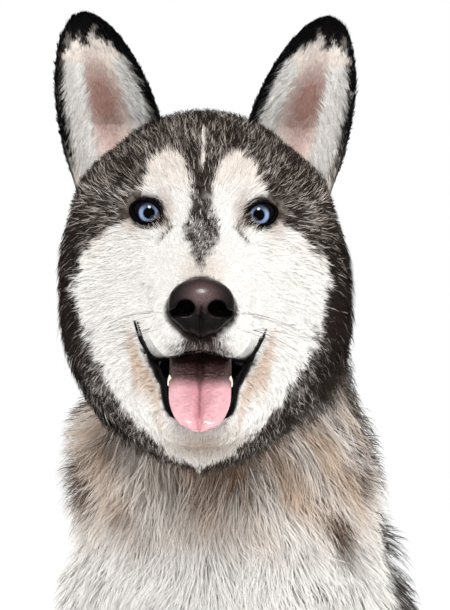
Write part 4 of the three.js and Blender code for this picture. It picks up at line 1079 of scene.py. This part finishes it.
def ear_points(u, v, back):
    """The left ear in the head's frame, with u across from -1 to 1 and v up from 0 to 1: a cup whose half
    width is (1 - t^1.7)^0.52 above the shoulder, and whose depth falls off as 1 - |u|^2.4."""
    z = EAR_ROOT_Z + v * (EAR_TIP_Z - EAR_ROOT_Z)
    t = np.maximum(0, (z - EAR_SHOULDER_Z) / (EAR_TIP_Z - EAR_SHOULDER_Z))
    foot = EAR_FOOT + (EAR_HALF - EAR_FOOT) * smooth(z, EAR_ROOT_Z, EAR_SHOULDER_Z - 12)
    half = foot * np.maximum(1 - t ** 1.7, 0) ** 0.52 - 0.8
    middle = EAR_INNER + EAR_LEAN * v ** 1.1 + 3 * t
    cup = EAR_DEPTH * (1 - 0.86 * t) * (1 - np.abs(u) ** 2.4)
    skin = (EAR_THICK - 1) * (1 - 0.45 * t) * (1 - 0.55 * np.abs(u) ** 3) if back else 0 * z
    return np.stack([
        middle + u * (half + (1.0 * (1 - t) if back else 0)),
        EAR_EDGE_Y + EAR_SPLAY * u * half / EAR_HALF + cup + skin - EAR_FORWARD * t,
        z + 0.25 * skin * t,
    ], axis=-1)


def ear_colours(u, v, back, p):
    """Bare pink skin deep in the cup, pale at its sides, black along the rim, and a black back."""
    ragged = 0.04 * wander(p, 9, 31) + 0.03 * wander(p, 4, 32)
    if back:
        return blend(DARK, GREY, 0.3 + 0.3 * wander(p, 20, 33))
    half = EAR_HALF * np.maximum(1 - np.maximum(0, (v - 0.41) / 0.59) ** 1.7, 0) ** 0.52
    width = np.where(u < 0, 8.0, 4.0) * smooth(v, 0.05, 0.45)
    edge = half * (1 - np.abs(u)) - width + 30 * ragged * np.minimum(1, width / 4)
    rim = np.maximum(fade(edge, -1.0, 2.0), smooth(v + ragged, 0.80, 0.88))
    deep = fade(np.hypot((u - 0.05) / 0.66, (v - 0.54) / 0.33) + ragged, 0.3, 1.05)
    pink = np.exp(-(((u - 0.1) / 0.3) ** 2 + ((v - 0.3) / 0.12) ** 2))
    inner = blend(blend(EAR_CREAM, EAR_PINK, pink), EAR_BROWN, deep)
    return blend(inner, DARK, rim)


def make_ear(label, side):
    """One ear's shell and its hair: short outside, long and pale from the inner edge over the cup."""
    rows, columns = 49, 33
    v, u = np.meshgrid(np.linspace(0, 0.996, rows), np.linspace(-1, 1, columns), indexing="ij")
    mirror = np.array([side, 1, 1])
    front = ear_points(u, v, False)
    back = ear_points(u, v, True)
    points = np.concatenate([front.reshape(-1, 3), back.reshape(-1, 3)])
    flat_u, flat_v = u.ravel(), v.ravel()
    colours = np.concatenate([ear_colours(flat_u, flat_v, False, front.reshape(-1, 3)),
                              ear_colours(flat_u, flat_v, True, back.reshape(-1, 3))])
    all_faces = closed_sheets(rows, columns)
    if side < 0:
        all_faces = all_faces[:, ::-1]
    make_piece(f"ear_skin_{label}", from_head(points * mirror), [all_faces], EAR_SKIN, colours,
               (f"ear_{label}",))

    rng = np.random.default_rng(41 if side > 0 else 42)

    def patch(count, low_u, high_u, low_v, high_v, is_back):
        """Places on the ear with their outward and upward directions, in the head's frame."""
        uu, vv = rng.uniform(low_u, high_u, count), rng.uniform(low_v, high_v, count)
        p = ear_points(uu, vv, is_back)
        du = ear_points(uu + 0.01, vv, is_back) - p
        dv = ear_points(uu, np.minimum(vv + 0.01, 0.999), is_back) - p
        out = unit(np.cross(du, dv)) * (-1 if is_back else 1)
        return uu, vv, p, out, unit(dv), unit(du)

    pieces = []
    short = int(9000 * QUICK_SHARE)
    for is_back, low_v in ((True, 0.12), (False, 0.2)):
        uu, vv, p, out, up, aside = patch(short if is_back else short // 2, -1, 1, low_v, 0.985, is_back)
        if is_back:
            lie, lift = unit(up + 0.35 * aside * uu[:, None]), 1.2 + 0 * uu
            length = 7.0 - 3.6 * smooth(np.maximum(np.abs(uu), vv), 0.75, 0.95)
        else:
            edge = smooth(np.abs(uu), 0.55, 0.85)
            lie, length, lift = unit(up + 0.25 * aside * uu[:, None]), 5 + 3 * edge, 0.9 + 0 * uu
        pieces.append((uu, vv, p, out, lie, length, lift, is_back, 0.5))
    uu, vv, p, out, up, aside = patch(int(1100 * QUICK_SHARE), -1, -0.62, 0.06, 0.72, False)
    pieces.append((uu, vv, p, out, unit(aside * 0.6 + up * 0.9), 10 + 9 * (1 - vv), 4 + 0 * uu, False, 0.6))
    uu, vv, p, out, up, aside = patch(int(700 * QUICK_SHARE), 0.5, 1, 0.1, 0.7, False)
    pieces.append((uu, vv, p, out, unit(-aside * 0.5 + up * 0.9), 9 + 4 * (1 - vv), 3 + 0 * uu, False, 0.55))
    for number, (uu, vv, p, out, lie, length, lift, is_back, width) in enumerate(pieces):
        per = 4
        wide = np.full(len(p), 0.8 * width / math.sqrt(QUICK_SHARE))
        made = blades(rng, p, out, lie, length, wide, lift, np.full(len(p), 1.3), per, False, sink=0.4)
        mesh_points, normals, faces, along, roots = made
        tone = np.repeat(ear_colours(uu, vv, is_back, p), per, axis=0)
        if number >= 2:
            edge = np.repeat(smooth(np.abs(uu), 0.9, 0.98), per)
            tone = blend(np.asarray(WHITE) * 0.95 + 0 * tone, tone, edge)
        elif not is_back:
            tone = blend(tone, np.asarray(WHITE) * 0.9, 0.15 * (tone[:, 0] > 0.3))
        tone = tone * rng.uniform(0.82, 1.15, (len(roots), 1))
        colours = np.repeat(tone, len(along), axis=0)
        flat = np.stack([np.repeat(uu, per) + 2.2 * is_back, np.repeat(vv, per)], axis=1)
        uvs = bake_places(rng, flat, along, len(roots))
        points = from_head(mesh_points.reshape(-1, 3) * mirror)
        turned = (normals.reshape(-1, 3) * mirror) @ HEAD_TURNED.T
        if side < 0:
            faces = [f[:, ::-1] for f in faces]
        make_piece(f"coat_ear_{label}_{number + 1}", points, faces, COAT, colours, (), turned, uvs)


# Eyes

GAZE_DOWN = math.radians(7)


def make_eye(label, side):
    """An eyeball turned on its gaze, with a cornea that bulges by 0.9 (1 - (a / 38)^2) mm, its pupil, its
    iris with fine rays, darker towards its top as painted shadow of the upper lid, and its dark outer ring."""
    rings, around = 72, 96
    a = np.linspace(0, 1, rings) ** 1.4 * np.pi * 0.98 + 0.002
    b = np.linspace(0, 2 * np.pi, around, endpoint=False)
    a, b = np.meshgrid(a, b, indexing="ij")
    degrees = np.degrees(a)
    radius = EYE_RADIUS - 0.15 + 0.9 * np.maximum(0, 1 - (degrees / 38) ** 2)
    local = np.stack([np.sin(a) * np.cos(b), -np.cos(a), np.sin(a) * np.sin(b)], axis=-1) * radius[..., None]
    c, s = math.cos(GAZE_DOWN), math.sin(GAZE_DOWN)
    local = local @ np.array([[1, 0, 0], [0, c, -s], [0, s, c]]).T
    points = local.reshape(-1, 3) + np.array([EYE_MIDDLE + side * EYE_X, EYE_Y, EYE_Z])
    flat, spin = degrees.ravel(), b.ravel()
    rays = 0.5 + 0.25 * np.sin(spin * 37 + 2 * np.sin(flat * 0.6))
    rays = rays + 0.25 * np.sin(spin * 61 + 1.3 * flat * 0.4)
    iris = blend(IRIS_DARK, IRIS_BLUE, rays)
    iris = blend(iris, IRIS_PALE, 0.45 * fade(np.abs(flat - 27), 0, 6))
    # Painted shadow of the upper lid: the iris darkens towards its top.
    lid_shadow = smooth(points[:, 2] - EYE_Z, -1.0, 4.6)
    iris = iris * (1 - 0.88 * lid_shadow)[:, None]
    colour = blend(PUPIL_BLACK, iris, smooth(flat, 17.5, 20.5))
    colour = blend(colour, IRIS_RIM, smooth(flat, 34, 38.5))
    colour = blend(colour, EYE_DARK, smooth(flat, 39, 42))
    faces = grid_faces(rings, around, closed=True)
    make_piece(f"eyeball_{label}", from_head(points), [faces], EYE, colour, (f"eye_{label}",))


def make_lids(label, side):
    """The lids as one ring round the eye: from an almond edge on the eyeball out to the skin."""
    around, across = 96, 12
    a = np.linspace(0, 2 * np.pi, around, endpoint=False)
    axes = eye_axes(side)
    centre = np.array([EYE_MIDDLE + side * EYE_X, EYE_Y, EYE_Z])
    corner = 1 + 0.12 * np.cos(a) ** 4
    inner_x = LID_HALF * np.cos(a) * corner
    inner_z = LID_TALL * np.sin(a) * (1 - 0.10 * (np.sin(a) > 0))
    reach = EYE_RADIUS + 0.35
    inner_y = -np.sqrt(np.maximum(reach ** 2 - inner_x ** 2 - inner_z ** 2, 9))
    inner = np.stack([inner_x, inner_y, inner_z], axis=1)
    outer = inner * np.array([1.42, 1.0, 1.46])
    outer_head = settle(head_under_coat, outer @ axes.T + centre, 0.0, 6)
    inner_head = inner @ axes.T + centre
    rows = []
    for t in np.linspace(0, 1, across):
        bulge = 1.5 * np.sin(np.pi * min(1.0, t * 1.35)) * (1 - t) + 0.25 * np.sin(np.pi * t)
        rows.append(inner_head * (1 - t) + outer_head * t + axes[:, 1] * -bulge)
    tucked = inner_head + axes[:, 1] * 2.6
    points = np.stack([tucked] + rows, axis=0).reshape(-1, 3)
    faces = grid_faces(across + 1, around, closed=True)
    if side > 0:
        faces = faces[:, ::-1]
    make_piece(f"lids_{label}", from_head(points), [faces], LID)


# Nose

def nostril(side):
    """Field of a nostril: a round pit with a slit that runs out to the side."""
    pit = ellipsoid((side * 9.4, NOSE_Y - 9, NOSE_Z - 0.8), (5.4, 10.5, 4.8))
    slit = ellipsoid((side * 15, NOSE_Y - 7, NOSE_Z - 3.8), (5.8, 9, 2.4))
    return lambda x, y, z: join(pit(x, y, z), slit(x, y, z), 2)


nose_masses = melt([
    (ellipsoid((0, NOSE_Y + 1, NOSE_Z + 5.5), (17, 14, 12)), 5),
    (pair(ellipsoid((12, NOSE_Y + 3, NOSE_Z), (8.3, 12.5, 11))), 5),
    (pair(ellipsoid((5.5, NOSE_Y + 3, NOSE_Z - 9.5), (7.5, 10, 7))), 4),
    (ellipsoid((0, NOSE_Y + 3.5, NOSE_Z - 14), (4, 8, 5)), 4),
])


def nose_field(x, y, z):
    """The nose with its nostrils and the furrow down its middle."""
    body = nose_masses(x, y, z)
    furrow = np.maximum(np.abs(x) - 0.35, np.maximum(-1.7 - body, z - NOSE_Z - 1))
    whole = carve(body, nostril(1)(x, y, z), 1.6)
    whole = carve(whole, nostril(-1)(x, y, z), 1.6)
    return carve(whole, furrow, 1.2)


def make_nose():
    """The bare nose: pinkish brown at the top of its middle, the snow nose's own colour with a painted
    highlight where the key light falls, and painted shade, near black, in its nostrils and crease.
    """
    step = 1.1
    xs = np.arange(-27, 27.1, step) + 0.03
    ys = np.arange(NOSE_Y - 18, NOSE_Y + 21, step)
    zs = np.arange(NOSE_Z - 24, NOSE_Z + 23, step)
    points, quads = surface_net(nose_field, xs, ys, zs)
    x, y, z = points.T
    # Painted highlight on the snow nose's own pinkish brown, at the top of its middle where the key light
    # falls.
    glow = np.exp(-((x / 9) ** 2 + ((z - NOSE_Z - 7) / 7) ** 2)) * (y < NOSE_Y - 4)
    # Painted shade: the nostril pits and the crease down the middle go near black.
    pits = fade(np.minimum(nostril(1)(x, y, z), nostril(-1)(x, y, z)), -0.5, 1.5)
    crease = np.exp(-(x / 0.8) ** 2) * fade(z, NOSE_Z - 1, NOSE_Z + 3)
    colours = blend(NOSE_BLACK, NOSE_PINK_AND_HIGHLIGHT, np.clip(glow, 0, 1) * 0.8)
    colours = blend(colours, NOSTRIL_SHADE, np.maximum(pits, 0.8 * crease))
    make_piece("nose_leather", from_head(points), [quads], LEATHER, colours, ("nose",))


# Mouth

LIP_SUNK = 0.8
TONGUE_HALF, TONGUE_THICK, TONGUE_LIFT, TONGUE_GROOVE = 18.9, 7.0, 4.6, 1.6
TONGUE_PATH = np.array([[0, -22, -66], [0, -42, -82], [0, -62, -99], [0, -80, -115], [0, -94, -127],
                        [0, -101, -137]], float)


def smooth_path(points, count):
    """A Catmull-Rom curve through points."""
    t = np.linspace(0, len(points) - 1, count)
    i = np.minimum(t.astype(int), len(points) - 2)
    f = (t - i)[:, None]
    padded = np.concatenate([[2 * points[0] - points[1]], points, [2 * points[-1] - points[-2]]])
    a, b, c, d = (padded[i + k] for k in range(4))
    square, cube = 2 * a - 5 * b + 4 * c - d, 3 * b - a - 3 * c + d
    return 0.5 * (2 * b + (c - a) * f + square * f ** 2 + cube * f ** 3)


def make_tongue():
    """A flat tongue that hangs over the lower lip, with a round tip and a furrow down its middle, and painted
    shade that darkens the furrow and the back of the tongue deep in the mouth.
    """
    rows, columns = 64, 41
    path = smooth_path(TONGUE_PATH, rows)
    along = unit(np.gradient(path, axis=0))
    up = unit(np.cross(along, np.array([1.0, 0, 0])))
    t = np.linspace(0, 1, rows)[:, None]
    u = np.linspace(-1, 1, columns)[None, :]
    rounded = np.sqrt(np.maximum(1 - np.maximum(0, (t - 0.66) / 0.343) ** 2, 0.004))
    half = TONGUE_HALF * (0.92 + 0.08 * np.sin(t * np.pi)) * rounded
    edge = np.sqrt(np.maximum(1 - np.abs(u) ** 3.2, 0)) * np.minimum(1, rounded * 1.6)
    sheets = []
    for below in (False, True):
        groove = 0 if below else TONGUE_GROOVE * 1.3 * np.exp(-(u / 0.12) ** 2) * smooth(t, 0.2, 0.5)
        ripple = 0 if below else 0.35 * np.sin(9 * u + 14 * t) * smooth(t, 0.1, 0.4) * fade(t, 0.8, 1)
        height = (-0.5 if below else 0.5) * TONGUE_THICK * edge + TONGUE_LIFT - groove + ripple + 1.5 * u * u
        point = path[:, None] + up[:, None] * height[..., None]
        point[..., 0] += u * half
        sheets.append(point)
    points = np.concatenate([s.reshape(-1, 3) for s in sheets])
    faces = closed_sheets(rows, columns)[:, ::-1]
    uu = np.tile(np.broadcast_to(u, (rows, columns)).ravel(), 2)
    tt = np.tile(np.broadcast_to(t, (rows, columns)).ravel(), 2)
    colours = blend(TONGUE_ROSE, TONGUE_PINK, smooth(np.abs(uu), 0.1, 0.7))
    # Painted shade: the colour darkens along the furrow's groove.
    furrow = 0.75 * np.exp(-(uu / 0.05) ** 2) * fade(tt, 0.8, 0.93)
    colours = blend(colours, TONGUE_FURROW_SHADE, furrow)
    # Painted shadow: the back of the tongue, deep in the mouth, goes near black.
    colours = blend(colours, TONGUE_SHADOW, fade(tt, 0.50, 0.63))
    colours = colours * (1 + 0.05 * wander(points, 5, 51))[:, None]
    make_piece("tongue_flesh", from_head(points), [faces], TONGUE, colours, ("tongue",))


def make_lip(name, height, inset, radii_x, radii):
    """A lip as a cord along its edge on the face, set in towards the mouth, thin at the corners."""
    count = 161
    a = np.radians(86) * np.linspace(-1, 1, count)
    way = np.stack([np.sin(a), -np.cos(a)], axis=1)
    low, high = np.zeros(count), np.full(count, 110.0)
    for _ in range(26):
        mid = (low + high) / 2
        x, y = way[:, 0] * mid, MOUTH_BACK_Y + way[:, 1] * mid
        inside = head_masses(x, y, height(x)) + LIP_SUNK < 0
        low, high = np.where(inside, mid, low), np.where(inside, high, mid)
    x, y = way[:, 0] * low, MOUTH_BACK_Y + way[:, 1] * low
    path = np.stack([x - inset * np.tanh(x / 9), y, height(x)], axis=1)
    size = np.interp(np.abs(x), radii_x, radii) * (1 + 0.07 * np.sin(x * 1.3))
    size[[0, -1]] = 0.05
    points, faces = tube(path, size, 12)
    make_piece(name, from_head(points), [faces], LIP)


def cone_points(base, tip, radius, rows=10, sides=12, hook=0.0):
    """A round tapered tooth or claw from base to tip, its radius (1 - t^1.6)^0.8 and its tip bent down."""
    t = np.linspace(0, 1, rows)
    path = base + (tip - base) * t[:, None]
    path[:, 2] -= hook * t ** 2
    return tube(path, np.maximum(radius * (1 - t ** 1.6) ** 0.8, 0.05), sides)


def make_teeth():
    """The lower canines, the small teeth behind them and those between them."""
    teeth = []
    for side in (1, -1):
        teeth.append(((side * 17.9, -75, -107.5), (side * 18.6, -79, -101.5), 2.0))
        for i in range(3):
            x, y, z = 22.0 + 2.6 * i, -51 + 11 * i, -106.0 + 6.0 * i
            teeth.append(((side * x, y, z - 4.0), (side * (x + 0.4), y - 1, z + 1.0), 1.5))
        for i in range(3):
            x = 2.2 + 4.1 * i
            teeth.append(((side * x, -83 + 1.2 * i, -121.0), (side * x, -85 + 1.2 * i, -115.0), 1.8))
    points, faces = gathered([cone_points(np.array(base), np.array(tip), r) for base, tip, r in teeth])
    make_piece("teeth", from_head(points), [faces], ENAMEL)


def make_whiskers():
    """Fine tapered whiskers that spring from the pads of the muzzle and sweep out and back."""
    rng = np.random.default_rng(61)
    parts = []
    for side in (1, -1):
        for i in range(8):
            row, column = divmod(i, 4)
            root = np.array([side * (20 + 2.5 * column), -78 + 9 * column, -66 - 7 * row])
            root = settle(head_masses, root[None], -1.0, 6)[0]
            length = rng.uniform(38, 62)
            t = np.linspace(0, 1, 12)[:, None]
            way = unit(np.array([side * 1.0, 0.25 + 0.18 * column, -0.05 - 0.12 * row + rng.normal(0, 0.08)]))
            sag = np.array([0, 0.28, -0.30]) * length
            path = root + way * length * t + sag * t ** 2
            parts.append(tube(path, 0.15 * (1 - t[:, 0]) + 0.03, 5))
    points, faces = gathered(parts)
    make_piece("whiskers", from_head(points), [faces], WHISKER)


# Claws

def make_claws():
    """A dark claw at the end of each toe."""
    parts = []
    for px, py in (PAW, HIND_PAW):
        for side in (1, -1):
            for dx, ahead in TOES:
                base = np.array([side * (px + dx), py - ahead - 13, 15.0])
                parts.append(cone_points(base, base + np.array([0, -11.5, -6.5]), 3.2, hook=3.0))
    points, faces = gathered(parts)
    make_piece("claws", points, [faces], HORN)


# Tail

TAIL_PATH = np.array([[0, 40, 88], [12, 92, 62], [58, 140, 50], [128, 156, 48], [196, 134, 48],
                      [250, 92, 46], [276, 52, 40]], float)
TAIL_ROOT, TAIL_SWELL, TAIL_DEPTH = 30.0, 21.0, 21.0


def tail_radius(t):
    """Outer radius of the tail along its length, as in the solids."""
    swell = np.sin(np.pi * np.minimum(t * 1.08, 1)) ** 0.8
    return TAIL_ROOT + TAIL_SWELL * swell * (1 - 0.25 * t) - 14 * t ** 6


def make_tail():
    """The tail's skin as a tube inside its coat, and its long hair."""
    count, sides = 90, 40
    path = smooth_path(TAIL_PATH, count)
    t = np.linspace(0, 1, count)
    closing = np.sqrt(np.maximum(1 - np.maximum(0, (t - 0.9) / 0.1) ** 2, 0.003))
    radii = np.maximum(tail_radius(t) - TAIL_DEPTH, 6) * closing
    along = unit(np.gradient(path, axis=0))
    aside = unit(np.cross(along, np.array([0, 0, 1.0])))
    up = np.cross(aside, along)
    a = np.linspace(0, 2 * np.pi, sides, endpoint=False)
    ring = up[:, None] * np.cos(a)[None, :, None] + aside[:, None] * np.sin(a)[None, :, None]
    points = path[:, None] + ring * radii[:, None, None]
    points[..., 2] = np.maximum(points[..., 2], 1.5)
    share = tail_share(np.repeat(t, sides), np.tile(np.cos(a), count))
    colours = blend(np.asarray(WHITE) * 0.8, DARK, share)
    faces = grid_faces(count, sides, closed=True)
    make_piece("tail_skin", points.reshape(-1, 3), [faces], SKIN, colours,
               ("tail_base", "tail_brush"))

    rng = np.random.default_rng(71)
    per = 7
    number = int(150000 * QUICK_SHARE / 5 / per)
    s = rng.uniform(0, 1, number) ** 0.95
    angle = rng.uniform(0, 2 * np.pi, number)
    at = np.stack([np.interp(s, t, path[:, k]) for k in range(3)], axis=1)
    way = unit(np.stack([np.interp(s, t, along[:, k]) for k in range(3)], axis=1))
    beside = unit(np.cross(way, np.array([0, 0, 1.0])))
    above = np.cross(beside, way)
    out = above * np.cos(angle)[:, None] + beside * np.sin(angle)[:, None]
    centre = at + out * np.interp(s, t, radii)[:, None]
    length = 34 + 26 * np.sin(np.pi * np.clip(s, 0, 1)) ** 0.7
    room = np.clip(centre[:, 2] - 3, 1, None)
    down = np.clip(-out[:, 2], 0, 1)
    lift = np.minimum(np.minimum(TAIL_DEPTH, tail_radius(s)) * 0.95, room / np.maximum(down, 0.05))
    keep = centre[:, 2] > 3
    centre, out, way, length, lift, s, angle = (v[keep] for v in (centre, out, way, length, lift, s, angle))
    length = np.minimum(length, 16 + (1 - s) * 400)
    wide = np.full(len(s), 1.5 / math.sqrt(QUICK_SHARE))
    made = blades(rng, centre, out, way, length, wide, lift, np.full(len(s), 4.0), per, True)
    mesh_points, normals, faces, steps, roots = made
    mesh_points = mesh_points.reshape(-1, 3)
    mesh_points[:, 2] = np.maximum(mesh_points[:, 2], 0.8)
    share = np.repeat(tail_share(s, out[:, 2]), per)
    pale = np.tile(np.asarray(WHITE), (len(share), 1))
    dark = np.tile(np.asarray(DARK) * 1.6, (len(share), 1))
    colours = strand_colours(rng, share, pale, dark, steps, 0.5, 0.4, 0.3)
    flat = np.stack([np.repeat(np.sin(angle / 2), per), np.repeat(s, per)], axis=1)
    uvs = bake_places(rng, flat, steps, len(roots))
    make_piece("coat_tail", mesh_points, faces, COAT, colours, (), normals.reshape(-1, 3), uvs)


# Stage

PHOTO_SIZE = (450, 610)
FOCAL_PIXELS = 2844.0
CAMERA_TURN = math.radians(8)
CAMERA_DISTANCE, CAMERA_ASIDE, CAMERA_DROP = 1800.0, 13.9, -59.0
ROUND_LIGHT, GLOSS_LIGHT = 0.42, 0.05
FLOOR_GLOW, FLOOR_BOUNCE, FLOOR_HALF = 0.64, 0.6, 6.0
LIT_POINT = np.array([0.0, -0.3, 0.5])

# Each light's name, its place and size in metres, and its power in watts
LIGHTS = (
    ("key", (0.26, -2.2, 2.2), 1.0, 62.0),
    ("left", (2.2, 0.1, 1.0), 1.2, 30.0),
    ("right", (-2.2, 0.1, 1.0), 1.2, 30.0),
    ("back_left", (1.5, 1.4, 1.5), 1.3, 16.0),
    ("back_right", (-1.5, 1.4, 1.5), 1.3, 16.0),
)


def add_up(nodes, links, seen, on_diffuse, base, on_camera, strength):
    """A light's strength: base, and more of it as the camera and as dull surfaces see it."""
    total = base
    for ray, share in (("Is Diffuse Ray", on_diffuse), ("Is Camera Ray", on_camera)):
        term = nodes.new("ShaderNodeMath")
        term.operation = "MULTIPLY_ADD"
        term.inputs[1].default_value = share
        links.new(seen.outputs[ray], term.inputs[0])
        if isinstance(total, float):
            term.inputs[2].default_value = total
        else:
            links.new(total, term.inputs[2])
        total = term.outputs["Value"]
    links.new(total, strength)


def make_stage():
    """A pale floor, a bright even backdrop, a large soft light above the camera, and dimmer ones at the
    sides and behind. Only the first shows in glossy surfaces."""
    mesh = bpy.data.meshes.new("floor")
    r = FLOOR_HALF
    mesh.from_pydata([(-r, -r, 0), (r, -r, 0), (r, r, 0), (-r, r, 0)], [], [(0, 1, 2, 3)])
    floor = bpy.data.objects.new("floor", mesh)
    bpy.context.scene.collection.objects.link(floor)
    material, nodes, links, shader = new_material("pale_floor")
    shader.inputs["Base Color"].default_value = (0.97, 0.97, 0.97, 1)
    shader.inputs["Roughness"].default_value = 0.6
    shader.inputs["Emission Color"].default_value = (1, 1, 1, 1)
    seen = nodes.new("ShaderNodeLightPath")
    add_up(nodes, links, seen, FLOOR_BOUNCE, 0.0, FLOOR_GLOW, shader.inputs["Emission Strength"])
    mesh.materials.append(material)
    floor.visible_glossy = False
    world = bpy.data.worlds.new("studio")
    world.use_nodes = True
    nodes, links = world.node_tree.nodes, world.node_tree.links
    seen = nodes.new("ShaderNodeLightPath")
    glow = nodes["Background"].inputs["Strength"]
    add_up(nodes, links, seen, ROUND_LIGHT, GLOSS_LIGHT, 1.0 - GLOSS_LIGHT, glow)
    nodes["Background"].inputs["Color"].default_value = (1, 1, 1, 1)
    bpy.context.scene.world = world
    bpy.context.scene.view_settings.view_transform = "Standard"
    for name, place, size, power in LIGHTS:
        lamp = bpy.data.lights.new(name, "AREA")
        lamp.shape = "DISK"
        lamp.size = size
        lamp.energy = power
        light = bpy.data.objects.new(name, lamp)
        light.location = place
        light.visible_glossy = name == "key"
        away = np.array(place) - LIT_POINT
        flat = math.hypot(away[0], away[1])
        light.rotation_euler = (math.atan2(flat, away[2]), 0, math.atan2(away[1], away[0]) + math.pi / 2)
        bpy.context.scene.collection.objects.link(light)


def make_camera():
    """The photograph's view: 8 degrees round to the dog's left, level, from 1.8 metres."""
    lens = bpy.data.cameras.new("camera")
    lens.sensor_fit = "AUTO"
    lens.sensor_width = 36.0
    lens.lens = 36.0 * FOCAL_PIXELS / max(PHOTO_SIZE)
    lens.clip_end = 50.0
    camera = bpy.data.objects.new("camera", lens)
    s, c = math.sin(CAMERA_TURN), math.cos(CAMERA_TURN)
    x = CAMERA_DISTANCE * s + CAMERA_ASIDE * c
    y = -CAMERA_DISTANCE * c + CAMERA_ASIDE * s
    camera.location = (x * MM, (y - EYE_FORWARD) * MM, (EYE_HEIGHT + CAMERA_DROP) * MM)
    camera.rotation_euler = (math.pi / 2, 0, CAMERA_TURN)
    bpy.context.scene.collection.objects.link(camera)
    bpy.context.scene.camera = camera


make_camera()
make_stage()
make_coats(*make_skin())
make_tail()
for side_label, side_sign in (("left", 1), ("right", -1)):
    make_ear(side_label, side_sign)
    make_eye(side_label, side_sign)
    make_lids(side_label, side_sign)
make_nose()
make_tongue()
make_lip("upper_lip", upper_lip, 0.4, (0, 20, 30, 38, 44), (0.8, 1.0, 1.4, 1.0, 0.4))
make_lip("lower_lip", lower_lip, 2.6, (0, 15, 21, 27, 33, 38, 44), (0.8, 1.2, 2.6, 3.2, 1.8, 1.0, 0.4))
make_teeth()
make_whiskers()
make_claws()
